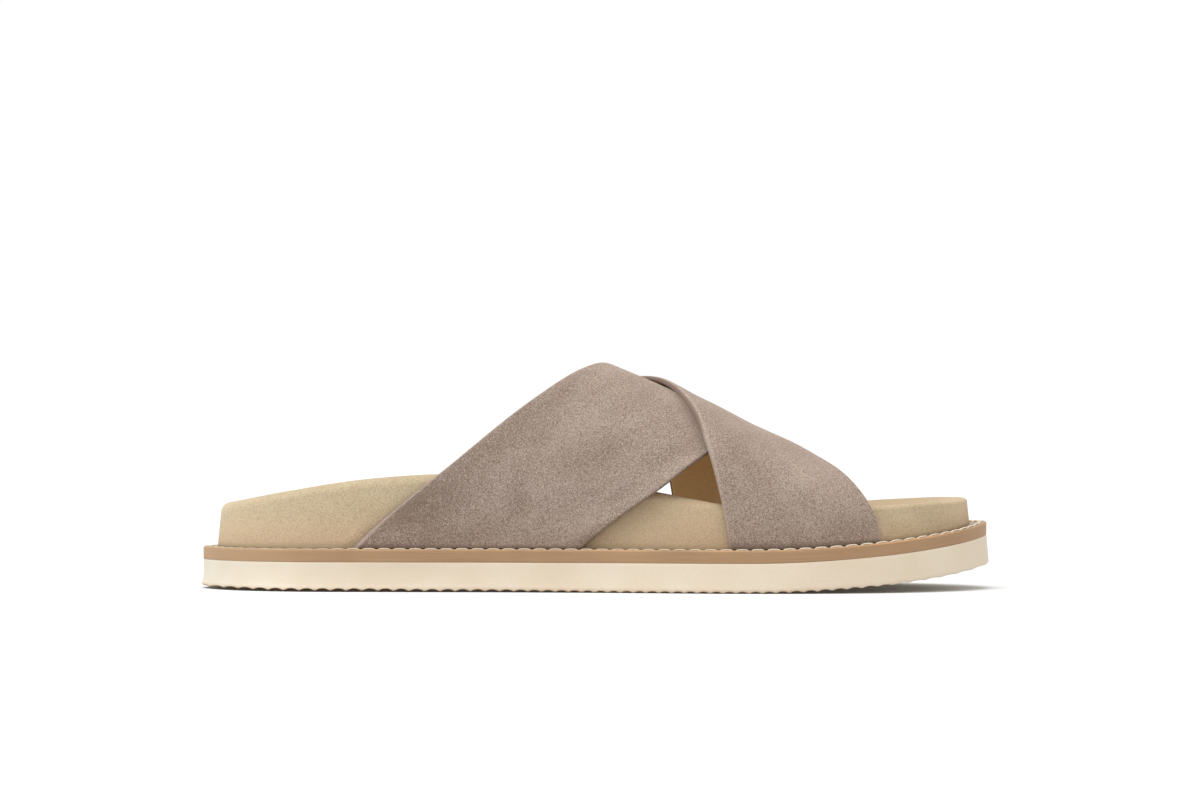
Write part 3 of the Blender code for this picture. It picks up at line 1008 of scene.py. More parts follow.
@dataclass(frozen=True)
class Outsole:
    """Foam outsole: slightly hollow sides with rounded edges, over a scalloped tread."""

    sole: SoleForm
    flare: float = 0.0009
    heel_hollow: float = 0.0005
    toe_hollow: float = 0.0
    top_round: float = 0.0003
    foot_round: float = 0.0007
    # Painted shade along the tread's edge, fading out towards the toe.
    shade_reach: float = 0.10
    shade_fade: Slope = Slope(1.0, 0.06, 0.05)
    rib_depth: float = 0.00052
    rib_land: float = 0.07
    rib_reach: float = 0.3
    rib_heel_gain: Slope = Slope(0.4, -0.02, -0.04)
    rib_heel_fade: Slope = Slope(0.5, -0.112, -0.02)
    rib_toe_fade: Slope = Slope(0.5, 0.085, 0.04)
    edge_lift: float = 0.00010
    edge_heel_lift: Slope = Slope(0.00030, -0.052, -0.030)
    heel_lift: Slope = Slope(0.0006, -0.112, -0.022)
    arch_rise: float = 0.0003
    arch_middle: float = -0.035
    arch_reach: float = 0.050
    top_inset: float = 0.004
    station_count: int = 760
    side_steps: int = 10
    round_steps: int = 5
    tread_columns: int = 15
    tread_steps: int = 1201

    def rib_size(self, x: Array) -> Array:
        """Size of the ribs against mid-sole: bolder under the heel, fainter at the sole's two ends."""
        return 1 + self.rib_heel_gain(x) - self.rib_heel_fade(x) - self.rib_toe_fade(x)

    def rib_rise(self, x: Array) -> Array:
        """Height of the tread over its lands: ribs are counted along the foot, and each groove is a low arc.

        Args:
            x: Places along the foot.

        Returns:
            The height at each place.
        """
        steps = np.linspace(TREAD[0].x, TREAD[-1].x, self.tread_steps)
        per_metre = 1 / SmoothCurve.through(TREAD, "x", "pitch")(steps)
        passed = (per_metre[1:] + per_metre[:-1]) / 2 * np.diff(steps)
        count = np.interp(x, steps, np.concatenate([[0.0], np.cumsum(passed)]))
        from_land = np.abs(count - np.round(count))
        groove_middle = 0.5
        share = np.clip((from_land - self.rib_land) / (groove_middle - self.rib_land), 0, 1)
        return self.rib_depth * self.rib_size(x) * (1 - (1 - share) ** 2)

    def ground(self, x: Array, y: Array) -> Array:
        """Underside without ribs: toe spring, a lifted heel end and a slight arch at the waist."""
        arch = self.arch_rise * (1 - ease(np.abs(x - self.arch_middle) / self.arch_reach))
        return self.sole.toe_spring(x, y) + arch + self.heel_lift(x)

    def profile(self, x: Array) -> tuple[Array, Array]:
        """How far out the side stands, from the top's inner line to the tread, and its share of the height.

        The side leans out by flare towards the tread and is hollowed by a parabola that fades out towards the
        toe. Quarter circles round it off at both ends.

        Args:
            x: Stations along the foot.

        Returns:
            Distance out of the footbed's outline by station and place, and height as a share of 1.
        """
        turn = np.linspace(0, np.pi / 2, self.round_steps)
        top, foot = self.top_round / self.sole.outsole_top, self.foot_round / self.sole.outsole_top
        side = np.linspace(1 - top, foot, self.side_steps)[1:-1]
        over, under = 1 - top * (1 - np.cos(turn)), foot * (1 - np.sin(turn))
        height = np.concatenate([[1.0], over, side, under])
        cut = np.concatenate([[self.top_inset], self.top_round * (1 - np.sin(turn)), 0 * side])
        cut = np.concatenate([cut, self.foot_round * (1 - np.cos(turn))])
        to_toe = ease((x - x[0]) / (x[-1] - x[0]))[:, None]
        hollow = self.heel_hollow + (self.toe_hollow - self.heel_hollow) * to_toe
        lean = self.flare * (1 - height) - 4 * hollow * height * (1 - height)
        return self.sole.welt_ledge + lean - cut, height

    def ring_side(self, x: Array, side: Side) -> Array:
        """One side of every section, from the top's inner line to the tread.

        The ribs reach only a little way up the side, so that it stays even above them. The side's lower edge
        stands over the lands by edge_lift, and by more round the heel.

        Args:
            x: Stations along the foot.
            side: Medial or lateral.

        Returns:
            Points by station and by place down the side.
        """
        base, outwards, _ = self.sole.edge(x, side)
        out, height = self.profile(x)
        plan = base[:, None] + outwards[:, None] * out[..., None]
        along, across = plan[..., 0], plan[..., 1]
        low = self.ground(along, across)
        high = self.sole.outsole_top + self.sole.toe_spring(along, across)
        lift = self.edge_lift + self.edge_heel_lift(along)
        rib = self.rib_rise(along) + lift * self.rib_size(along)
        rib = rib * np.clip(1 - height / self.rib_reach, 0, 1) ** 2
        return np.concatenate([plan, (low + (high - low) * height + rib)[..., None]], axis=-1)

    def build(self, finish: FoamFinish) -> bpy.types.Object:
        """Joins both sides over the tread, which keeps its ribs straight across the foot.

        Args:
            finish: Foam of the outsole.

        Returns:
            The outsole.
        """
        x = self.sole.stations(self.station_count)
        medial = self.ring_side(x, Side.MEDIAL)
        lateral = self.ring_side(x, Side.LATERAL)
        lateral[[0, -1]] = medial[[0, -1]]
        t = np.linspace(0, 1, self.tread_columns)[None, 1:-1, None]
        tread = medial[:, -1:] * (1 - t) + lateral[:, -1:] * t
        tread[..., 2] = self.ground(tread[..., 0], tread[..., 1]) + self.rib_rise(tread[..., 0])
        rings = np.concatenate([medial, tread, lateral[:, ::-1]], axis=1)
        _, height = self.profile(x)
        # Painted shade along the tread's edge, fading out towards the toe.
        low = np.concatenate([height, np.zeros(self.tread_columns - 2), height[::-1]])
        low = np.clip(1 - low / self.shade_reach, 0, 1) * (1 - self.shade_fade(rings[..., 0]))
        piece = Piece("outsole_foam", rings, ring_faces(*rings.shape[:2]), {"low": low})
        made = piece.build(finish.material())
        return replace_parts(made, "outsole")


@dataclass(frozen=True)
class Welt:
    """Leather welt: an even plate with a rounded top edge, a stitch channel and a row of needle holes."""

    sole: SoleForm
    stitch_set: float = 0.0034
    stitch_pitch: float = 0.00557
    stitch_at: float = 0.0577
    top_round: float = 0.0006
    foot_round: float = 0.00012
    seam: float = 0.00003
    channel_depth: float = 0.00014
    channel_width: float = 0.0007
    hole_depth: float = 0.00025
    hole_width: float = 0.00045
    plate_inset: float = 0.003
    station_count: int = 760
    ledge_steps: int = 18
    side_steps: int = 8
    round_steps: int = 5

    @cached_property
    def stitch_path(self) -> tuple[Array, Array, float]:
        """Places and directions out of evenly spaced stitches round the welt, and their spacing.

        A stitch is centred at stitch_at on the medial side, and the spacing is the nearest to stitch_pitch
        that fills the round.

        Returns:
            Stitch middles, directions out of the outline, and the spacing.
        """
        line, out = self.sole.walk
        closed = np.concatenate([line + self.stitch_set * out, (line + self.stitch_set * out)[:1]])
        walked = run_length(closed)
        count = round(walked[-1] / self.stitch_pitch)
        toe = line[:, 0].argmax()
        start = np.interp(self.stitch_at, closed[:toe, 0], walked[:toe])
        at = (start + walked[-1] * np.arange(count) / count) % walked[-1]
        outwards = read_along(at, walked, np.concatenate([out, out[:1]]))
        return read_along(at, walked, closed), unit(outwards), walked[-1] / count

    def profile(self) -> tuple[Array, Array]:
        """Section from the plate's inner line over the ledge and down the side, as distance out and height.

        Returns:
            Distance out of the footbed's outline, and height under the ledge.
        """
        turn = np.linspace(0, np.pi / 2, self.round_steps)
        edge = self.sole.welt_ledge
        deep = self.sole.welt_top - self.sole.outsole_top - self.seam
        ledge = np.linspace(-self.plate_inset, edge - self.top_round, self.ledge_steps)[:-1]
        over = edge - self.top_round * (1 - np.sin(turn)), -self.top_round * (1 - np.cos(turn))
        under = edge - self.foot_round * (1 - np.cos(turn)), self.foot_round * (1 - np.sin(turn)) - deep
        down = np.linspace(over[1][-1], under[1][0], self.side_steps)[1:-1]
        out = np.concatenate([ledge, over[0], np.full(len(down), edge), under[0], [-self.plate_inset]])
        height = np.concatenate([0 * ledge, over[1], down, under[1], [-deep]])
        return out, height

    def sink(self, points: Array, out: Array) -> Array:
        """How far the ledge sinks: a rounded channel along the stitches, and a pit at each needle hole.

        Args:
            points: Points of the ledge in plan.
            out: Their distance out of the footbed's outline.

        Returns:
            Depth at each point.
        """
        middles, _, _ = self.stitch_path
        holes = (middles + np.roll(middles, -1, axis=0)) / 2
        gap = np.linalg.norm(points[..., None, :] - holes, axis=-1).min(axis=-1)
        channel = self.channel_depth * np.exp(-(((out - self.stitch_set) / self.channel_width) ** 2))
        return channel + self.hole_depth * np.exp(-((gap / self.hole_width) ** 2))

    def ring_side(self, x: Array, side: Side) -> tuple[Array, dict[str, Array]]:
        """One side of every section, from the plate's inner line round the edge to its underside.

        Args:
            x: Stations along the foot.
            side: Medial or lateral.

        Returns:
            Points by station and by place in the section, and the numbers that the finish reads.
        """
        base, outwards, walked = self.sole.edge(x, side)
        out, height = self.profile()
        plan = base[:, None] + outwards[:, None] * out[:, None]
        on_ledge = np.arange(len(out)) < self.ledge_steps
        depth = np.zeros(plan.shape[:2])
        depth[:, on_ledge] = self.sink(plan[:, on_ledge], out[on_ledge])
        z = self.sole.welt_top + self.sole.toe_spring(plan[..., 0], plan[..., 1]) + height - depth
        down_side = np.where(height < -self.top_round, height, 0.0)
        ledge = self.sole.welt_ledge - self.top_round - out + down_side
        numbers = {
            "along": np.broadcast_to(walked[:, None], z.shape),
            "rise": np.broadcast_to(height, z.shape),
            "ledge": np.broadcast_to(ledge, z.shape),
        }
        return np.concatenate([plan, z[..., None]], axis=-1), numbers

    def build(self, finish: WeltFinish) -> bpy.types.Object:
        """Joins both sides into one plate.

        Args:
            finish: Leather of the welt.

        Returns:
            The welt.
        """
        x = self.sole.stations(self.station_count)
        medial, medial_numbers = self.ring_side(x, Side.MEDIAL)
        lateral, lateral_numbers = self.ring_side(x, Side.LATERAL)
        lateral[[0, -1]] = medial[[0, -1]]
        rings = there_and_back(medial, lateral)
        numbers = {name: there_and_back(part, lateral_numbers[name]) for name, part in medial_numbers.items()}
        made = Piece("welt_leather", rings, ring_faces(*rings.shape[:2]), numbers).build(finish.material())
        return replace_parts(made, "welt")


@dataclass(frozen=True)
class WeltStitching:
    """Row of thick stitches along the welt's ledge, each a flat thread that dives into a hole at both ends.

    They stand higher towards the toe and lie lower round the heel.
    """

    welt: Welt
    length_share: float = 0.92
    thread_width: float = 0.00052
    thread_height: float = 0.00022
    rise: float = 0.00013
    toe_gain: Slope = Slope(0.5, 0.030, 0.050)
    heel_drop: Slope = Slope(0.5, -0.080, -0.025)
    dive: float = 2.4
    dive_power: float = 2.6
    taper_power: int = 6
    lean: float = 0.00022
    steps: int = 9
    turns: int = 8

    def build(self, finish: ThreadFinish) -> bpy.types.Object:
        """Carries a round section along every stitch at once.

        The path rises as one minus a power of the distance from the middle, and the section shrinks to
        nothing at both ends, inside the holes.

        Args:
            finish: Thread of the stitches.

        Returns:
            The stitches, as one piece.
        """
        middles, outwards, pitch = self.welt.stitch_path
        forwards = np.stack([-outwards[:, 1], outwards[:, 0]], axis=1)
        s = np.linspace(-1, 1, self.steps)
        turn = np.linspace(0, math.tau, self.turns, endpoint=False) - math.pi / 2
        reach = s * pitch * self.length_share / 2
        height = self.rise * (1 - self.dive * np.abs(s) ** self.dive_power)
        slope = np.gradient(height, reach)
        level = 1 / np.sqrt(1 + slope**2)
        taper = np.sqrt(np.clip(1 - s**self.taper_power, 0, 1))
        tall = self.thread_height * taper * level
        forward = reach[:, None] - (tall * slope)[:, None] * np.sin(turn)
        upward = height[:, None] + tall[:, None] * np.sin(turn)
        sideways = self.lean * s[:, None] + (self.thread_width * taper)[:, None] * np.cos(turn)
        plan = (
            middles[:, None, None]
            + forwards[:, None, None] * forward[None, ..., None]
            + outwards[:, None, None] * sideways[None, ..., None]
        )
        sole = self.welt.sole
        seat = sole.welt_top + sole.toe_spring(plan[..., 0], plan[..., 1])
        gain = 1 + self.toe_gain(middles[:, 0]) - self.heel_drop(middles[:, 0])
        points = np.concatenate([plan, (seat + upward * gain[:, None, None])[..., None]], axis=-1)
        one = ring_faces(self.steps, self.turns)
        first = np.arange(len(middles)) * self.steps * self.turns
        faces = (first[:, None, None] + one).reshape(-1, 4)
        shape = points.shape[:3]
        numbers = {
            "along": np.broadcast_to(reach[None, :, None], shape),
            "turn": np.broadcast_to(turn / math.tau, shape),
        }
        return Piece("welt_stitches", points, faces, numbers).build(finish.material())


@dataclass(frozen=True)
class Footbed:
    """Suede-wrapped footbed: drafted wall, soft rim, and a dished bed with heel cup and arch."""

    sole: SoleForm
    wall_draft: float = 0.10
    heel_rim: float = 0.0038
    toe_rim: float = 0.0017
    rim_change: Slope = Slope(1.0, 0.5, 0.4)
    seat_drop: float = 0.00027
    foot_round: float = 0.00025
    # Height of the painted shade at the foot of the wall.
    hem_height: float = 0.0010
    bed_tone: float = 0.2
    # Middle of the painted warm shade on the footbed between the straps.
    rub_middle: float = 0.026
    # Painted light at the heel end.
    heel_painted_light: float = 0.10
    heel_painted_light_run: float = 0.045
    dish_sharpness: float = 1.6
    heel_centre: float = 0.125
    toe_centre: float = 0.865
    station_count: int = 330
    foot_steps: int = 4
    wall_steps: int = 9
    rim_steps: int = 10
    dish_steps: int = 30

    def ring(self, x: Array, side: Side, inset: Array, height: Array, inward: float) -> Array:
        """One side of a ring: the outline pulled in by inset, then drawn towards the foot's middle line.

        Args:
            x: Stations along the foot.
            side: Medial or lateral.
            inset: How far each point is pulled in.
            height: Height over the seat.
            inward: Share of the way from the middle line (0) to the pulled-in outline (1).

        Returns:
            The ring's points.
        """
        edge, out, _ = self.sole.edge(x, side)
        edge = edge - out * inset[:, None]
        length = self.sole.footbed_length
        spine_x = np.clip(x / length + 0.5, self.heel_centre, self.toe_centre) * length - length / 2
        spine = np.stack([spine_x, self.sole.middle_line(spine_x)], axis=1)
        plan = spine + (edge - spine) * inward
        plan[:, 0] -= self.sole.footbed_setback
        seat = self.sole.welt_top + self.sole.seat_gap + self.sole.toe_spring(*plan.T)
        return np.column_stack([plan, seat + height])

    def side_rings(self, x: Array, side: Side) -> Array:
        """Rings of one side, from the middle of the seat up the wall, round the rim and down into the bed.

        The dish falls from rim to bed as an eased power of the distance from the middle line.

        Args:
            x: Stations along the foot.
            side: Medial or lateral.

        Returns:
            Points by ring and station.
        """
        share = x / self.sole.footbed_length + 0.5
        rim = SmoothCurve.through(RIMS, "along", side.name.lower())(share)
        bed_share = np.clip(share, self.heel_centre, self.toe_centre)
        bed = SmoothCurve.through(RIMS, "along", "bed")(bed_share)
        none = np.zeros(len(x))
        radius = self.heel_rim + (self.toe_rim - self.heel_rim) * self.rim_change(share)
        shoulder = rim - radius
        low = none - self.seat_drop
        rings = [self.ring(x, side, none + self.foot_round, low, 0.0)]
        for turn in np.linspace(0, np.pi / 2, self.foot_steps):
            inset = self.foot_round * (1 - math.sin(turn))
            rings.append(self.ring(x, side, none + inset, low + self.foot_round * (1 - math.cos(turn)), 1.0))
        for t in np.linspace(0, 1, self.wall_steps)[1:-1]:
            height = low + self.foot_round + (shoulder - low - self.foot_round) * t
            rings.append(self.ring(x, side, self.wall_draft * np.maximum(height, 0), height, 1.0))
        for turn in np.linspace(0, np.pi / 2, self.rim_steps):
            inset = self.wall_draft * shoulder + radius * (1 - math.cos(turn))
            rings.append(self.ring(x, side, inset, shoulder + radius * math.sin(turn), 1.0))
        inset = self.wall_draft * shoulder + radius
        for inward in np.linspace(1, 0, self.dish_steps)[1:]:
            dish = bed + (rim - bed) * ease(inward**self.dish_sharpness)
            rings.append(self.ring(x, side, inset, dish, inward))
        return np.stack(rings)

    def build(self, finish: SuedeFinish) -> bpy.types.Object:
        """Closes the rings of both sides round the footbed.

        Args:
            finish: Suede of the footbed.

        Returns:
            The footbed.
        """
        x = self.sole.stations(self.station_count)
        medial = self.side_rings(x, Side.MEDIAL)
        lateral = self.side_rings(x, Side.LATERAL)
        rings = np.concatenate([medial, lateral[:, -2:0:-1]], axis=1)
        from_heel = rings[..., 0] - rings[..., 0].min()
        over_rim = np.arange(len(rings)) - (len(rings) - self.dish_steps - self.rim_steps)
        # Painted light and shade from the listed bells.
        tone, _ = bells(rings, FOOTBED_PAINTED_LIGHT_AND_SHADE)
        # Painted light at the heel end.
        tone = tone + self.heel_painted_light * (1 - ease(from_heel / self.heel_painted_light_run))
        numbers = {
            "along": rings[..., 0],
            "across": rings[..., 1] + rings[..., 2],
            # Distance from the middle of the painted warm shade between the straps.
            "edge": np.abs(rings[..., 0] - self.rub_middle),
            "patch": tone - self.bed_tone * ease(over_rim / self.rim_steps)[:, None],
        }
        over_seat = rings[..., 2] - self.sole.welt_top - self.sole.toe_spring(rings[..., 0], rings[..., 1])
        # Painted shade at the foot of the wall, where it sits on the welt.
        numbers["hem"] = 1 - ease(over_seat / self.hem_height)
        made = Piece("footbed_suede", rings, ring_faces(*rings.shape[:2]), numbers).build(finish.material())
        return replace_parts(made, "footbed")


@dataclass(frozen=True)
class Last:
    """Form of the foot under the straps: an arch from welt to welt at each place along the foot."""

    sole: SoleForm
    step_x: float = 0.0005
    step_girth: float = 0.004

    def point(self, x: Array, girth: Array) -> Array:
        """Points of the arch: a quarter ellipse on each side of the ridge, filled out at the shoulders.

        Args:
            x: Place along the foot.
            girth: Place round the foot, from -1 at the medial welt to 1 at the lateral welt.

        Returns:
            Points in the sandal's frame.
        """
        ridge, middle, fullness = (SmoothCurve.through(LAST, "x", name)(x) for name in LastRow._fields[1:])
        beside = x + self.sole.footbed_setback
        medial = self.sole.across(self.sole.seat_gap, Side.MEDIAL, beside)
        lateral = self.sole.across(self.sole.seat_gap, Side.LATERAL, beside)
        edge = np.where(girth < 0, medial, lateral)
        foot = self.sole.welt_top + self.sole.seat_gap + self.sole.toe_spring(x, edge)
        turn = (1 - np.abs(girth)) * np.pi / 2
        reach = np.cos(turn) * (1 + fullness * np.sin(turn) ** 2)
        y = middle + (edge - middle) * reach
        return np.stack([x, y, foot + (ridge - foot) * np.sin(turn)], axis=-1)

    def normal(self, x: Array, girth: Array) -> Array:
        """Direction out of the last, square to the slopes of its surface along the foot and round it.

        Args:
            x: Place along the foot.
            girth: Place round the foot.

        Returns:
            Vectors of length one.
        """
        along = self.point(x + self.step_x, girth) - self.point(x - self.step_x, girth)
        low, high = np.clip(girth - self.step_girth, -1, 1), np.clip(girth + self.step_girth, -1, 1)
        return unit(np.cross(along, self.point(x, high) - self.point(x, low)))


@dataclass(frozen=True)
class Strap:
    """One suede strap with turned edges and a lining inside.

    stand lifts the front edge off the footbed in the window, calm takes back the dark tone of the turned edge,
    partly painted shade, where light falls on the edge, and the distance from an edge is counted up to
    edge_counted.
    """

    last: Last
    layer: StrapLayer
    wall: float = 0.0024
    sink: float = 0.0005
    clearance: float = 0.00005
    crossing_ramp: float = 0.014
    crossing_runout: float = 0.030
    edge_round: float = 0.0007
    edge_power: float = 2.6
    edge_lift: float = 0.0013
    edge_lift_depth: float = 0.010
    edge_lift_girth: float = 0.13
    edge_lift_reach: float = 0.28
    lining_wall: float = 0.00035
    lining_margin: float = 0.0005
    crease_margin: float = 0.006
    # Height of the painted shade at both feet of the strap.
    hem_height: float = 0.0024
    edge_lean: float = 0.0019
    lean_depth: float = 0.004
    lean_girth: float = -0.24
    lean_reach: float = 0.52
    lean_foot_reach: float = 0.70
    foot_lean: float = 0.0024
    foot_lean_reach: float = 0.22
    # Less of the turned edge's dark tone, which is partly painted shade, where light falls on the edge.
    foot_calm: float = 0.5
    calm: Slope = Slope(0.73, -0.28, -0.20)
    # Width and reach of the painted shadow that the strap on top casts on the one underneath.
    shade_width: float = 0.0075
    shade_reach: float = 0.70
    stand: float = 0.0016
    stand_depth: float = 0.009
    window_top: Slope = Slope(1.0, -0.52, -0.12)
    window_foot: Slope = Slope(1.0, -1.0, 0.15)
    edge_counted: float = 0.0063
    edge_far: float = 0.05
    girth_steps: int = 380
    columns: int = 72
    edge_columns: int = 10
    lining_steps: int = 190
    lining_columns: int = 44

    @staticmethod
    def edges_of(layer: StrapLayer, girth: Array) -> tuple[Array, Array]:
        """Rear and front edge of a strap, as x along the foot, at each girth."""
        rows = UNDER_STRAP if layer is StrapLayer.UNDER else OVER_STRAP
        return tuple(SmoothCurve.through(rows, "girth", name)(girth) for name in ("rear", "front"))

    def crossing(self, x: Array, girth: Array) -> Array:
        """1 where the other strap lies, easing to 0 beside it.

        Args:
            x: Place along the foot.
            girth: Place round the foot.

        Returns:
            The share at each place.
        """
        other = StrapLayer.UNDER if self.layer is StrapLayer.OVER else StrapLayer.OVER
        rear, front = self.edges_of(other, girth)
        return 1 - ease(np.maximum((rear - x) / self.crossing_ramp, (x - front) / self.crossing_runout))

    def faces_off(self, x: Array, girth: Array) -> tuple[Array, Array]:
        """How far the inner and outer face stand off the last.

        The strap on top climbs over the other and lifts its own rear edge a little on the ridge. The other
        stands off the footbed along its front edge, in the medial window.

        Args:
            x: Place along the foot.
            girth: Place round the foot.

        Returns:
            Offset of the inner face and of the outer face.
        """
        if self.layer is StrapLayer.UNDER:
            _, front = self.edges_of(self.layer, girth)
            window = self.window_top(girth) * self.window_foot(girth)
            stand = self.stand * window * (1 - ease((front - x) / self.stand_depth))
            return stand, stand + self.wall
        share = self.crossing(x, girth)
        rear, _ = self.edges_of(self.layer, girth)
        on_edge = 1 - ease((x - rear) / self.edge_lift_depth)
        on_ridge = 1 - ease(np.abs(girth - self.edge_lift_girth) / self.edge_lift_reach)
        lift = (self.wall - self.sink) * share + self.edge_lift * on_edge * on_ridge
        return lift + (self.sink + self.clearance) * share, lift + self.wall

    def edge_stretch(self, girth: Array, edge: int) -> Array:
        """Step in x that crosses one metre of strap at right angles to an edge, from the edge's slant.

        Args:
            girth: Places round the foot.
            edge: 0 for the rear edge, 1 for the front edge.

        Returns:
            The step at each place.
        """
        x = self.edges_of(self.layer, girth)[edge]
        tangent = np.gradient(self.last.point(x, girth), girth, axis=0)
        step = self.last.step_x
        along = (self.last.point(x + step, girth) - self.last.point(x - step, girth)) / (2 * step)
        return 1 / np.linalg.norm(np.cross(along, unit(tangent)), axis=-1)

    def grid(self, girth: Array, rounded: Array) -> tuple[Array, Array, Array]:
        """Places on the strap from its rear to its front edge, with the distance in from the nearer edge.

        Args:
            girth: Girth of each row.
            rounded: Distances in from each edge of the columns that round it. Even columns fill the rest.

        Returns:
            x, girth and edge distance by row and column.
        """
        rear, front = self.edges_of(self.layer, girth)
        stretch = [self.edge_stretch(girth, edge) for edge in (0, 1)]
        near = rounded[None, :] * stretch[0][:, None] + rear[:, None]
        far = front[:, None] - rounded[None, ::-1] * stretch[1][:, None]
        t = np.linspace(0, 1, self.columns)[None, 1:-1]
        between = near[:, -1:] + (far[:, :1] - near[:, -1:]) * t
        x = np.concatenate([near, between, far], axis=1)
        from_rear = (x - rear[:, None]) / stretch[0][:, None]
        from_front = (front[:, None] - x) / stretch[1][:, None]
        edge = np.clip(np.minimum(from_rear, from_front), 0, self.edge_counted)
        return x, np.broadcast_to(girth[:, None], x.shape), edge

    def lengths(self, points: Array) -> tuple[Array, Array]:
        """Length walked along the strap's middle, and the distance across it from its rear edge.

        Args:
            points: Points by row along the strap and column across it.

        Returns:
            Both lengths at every point.
        """
        along = run_length(points[:, points.shape[1] // 2])
        steps = np.linalg.norm(np.diff(points, axis=1), axis=-1)
        across = np.concatenate([np.zeros((len(points), 1)), np.cumsum(steps, axis=1)], axis=1)
        return np.broadcast_to(along[:, None], across.shape), across

    def painted_edge_shadow(self, x: Array, girth: Array) -> Array:
        """Painted shadow of the strap on top, cast on the strap underneath along its rear edge on the medial
        side.

        Args:
            x: Place along the foot.
            girth: Place round the foot.

        Returns:
            Its share at each place, from 0 to 1.
        """
        rear, _ = self.edges_of(StrapLayer.OVER, girth)
        beside = 1 - ease((rear - x) / self.shade_width)
        return beside * (1 - ease(np.abs(girth - self.lean_girth) / self.shade_reach))

    def at_foot(self, girth: Array) -> Array:
        """1 at both feet of the strap, easing to 0 above them."""
        return 1 - ease((1 - np.abs(girth)) / self.foot_lean_reach)

    def lean(self, x: Array, girth: Array) -> Array:
        """How far the rear edge's inner corner stands out behind its outer corner.

        The strap on top leans where its edge is lifted, and the other at its feet.

        Args:
            x: Place along the foot.
            girth: Place round the foot.

        Returns:
            The distance at each place.
        """
        rear, _ = self.edges_of(self.layer, girth)
        near = 1 - ease((x - rear) / self.lean_depth)
        if self.layer is StrapLayer.UNDER:
            return self.foot_lean * near * self.at_foot(girth)
        reach = np.where(girth < self.lean_girth, self.lean_foot_reach, self.lean_reach)
        return self.edge_lean * near * (1 - ease(np.abs(girth - self.lean_girth) / reach))

    def body(self, name: str, outer: Array, inner: Array, numbers: dict[str, Array]) -> Piece:
        """Closed piece between two faces.

        Args:
            name: What it is, before the name of the layer.
            outer: Points of the outer face.
            inner: Points of the inner face.
            numbers: What the finish reads on both faces.

        Returns:
            The piece.
        """
        rings = there_and_back(outer, inner)
        both = {key: there_and_back(values, values) for key, values in numbers.items()}
        return Piece(f"{name}_{self.layer.value}", rings, capped_faces(*rings.shape[:2]), both)

    def build_suede(self, finish: SuedeFinish) -> bpy.types.Object:
        """Outer suede: both faces meet at full, rounded edges whose section is a superellipse.

        Args:
            finish: Suede of the straps.

        Returns:
            The strap without its lining.
        """
        girth = np.linspace(-1, 1, self.girth_steps)
        rounded = self.edge_round * (1 - np.cos(np.linspace(0, np.pi / 2, self.edge_columns)))
        x, girth, edge = self.grid(girth, rounded)
        point, out = self.last.point(x, girth), self.last.normal(x, girth)
        low, high = self.faces_off(x, girth)
        low = low + (self.lining_wall + self.clearance) * ease(edge / self.lining_margin * 2 - 1)
        along, across = self.lengths(point)
        tone, crease = bells(point, STRAP_CREASES_AND_PAINTED_LIGHT)
        free = 1.0 - self.crossing(x, girth) if self.layer is StrapLayer.UNDER else 1.0
        high = high + crease * ease(edge / self.crease_margin) * free
        t = np.clip(edge / self.edge_round, 0, 1)
        full = (1 - (1 - t) ** self.edge_power) ** (1 / self.edge_power)
        middle, half = (low + high) / 2, (high - low) / 2
        outer = point + out * (middle + half * full)[..., None]
        inner = point + out * (middle - half * full)[..., None]
        # Painted shade at both feet of the strap.
        hem = 1 - ease(np.minimum(along, along[-1] - along) / self.hem_height)
        on_rear = np.arange(x.shape[1]) < x.shape[1] // 2
        # Less of the turned edge's dark tone, partly painted shade, where light falls on it: beside the window
        # and at the feet of the strap underneath.
        calm = np.ones(x.shape)
        if self.layer is StrapLayer.UNDER:
            # Painted shadow of the strap on top, beside its rear edge.
            hem = np.maximum(hem, self.painted_edge_shadow(x, girth))
            edge = np.where(on_rear, edge, self.edge_far)
            calm = calm - self.foot_calm * on_rear * self.at_foot(girth)
        else:
            calm = calm - on_rear * self.calm(girth)
        lean = self.lean(x, girth)
        outer[..., 0] -= lean * (1 - full) / 2
        inner[..., 0] -= lean * (1 + full) / 2
        numbers = {"along": along, "across": across, "edge": edge, "patch": tone, "hem": hem}
        piece = self.body("strap", outer, inner, numbers)
        piece.numbers["depth"] = there_and_back(calm * (1 - full), calm * (1 + full)) / 2
        return piece.build(finish.material())

    def build_lining(self, finish: SuedeFinish) -> bpy.types.Object:
        """Lining: a thin sheet set inside the turned edges, flush with them.

        Args:
            finish: Suede of the lining.

        Returns:
            The strap's lining.
        """
        girth = np.linspace(-1, 1, self.lining_steps)
        rear, front = self.edges_of(self.layer, girth)
        near = rear + self.lining_margin * self.edge_stretch(girth, 0)
        far = front - self.lining_margin * self.edge_stretch(girth, 1)
        t = np.linspace(0, 1, self.lining_columns)
        x = near[:, None] + (far - near)[:, None] * t
        girth = np.broadcast_to(girth[:, None], x.shape)
        point, out = self.last.point(x, girth), self.last.normal(x, girth)
        low, _ = self.faces_off(x, girth)
        along, across = self.lengths(point)
        edge = np.minimum(across, across[:, -1:] - across)
        full = np.sqrt(1 - (1 - np.clip(edge / (2 * self.lining_wall), 0, 1)) ** 2)
        middle = low + self.lining_wall / 2
        inner = point + out * (middle - full * self.lining_wall / 2)[..., None]
        outer = point + out * (middle + full * self.lining_wall / 2)[..., None]
        piece = self.body("lining", outer, inner, {"along": along, "across": across})
        made = piece.build(finish.material())
        return made


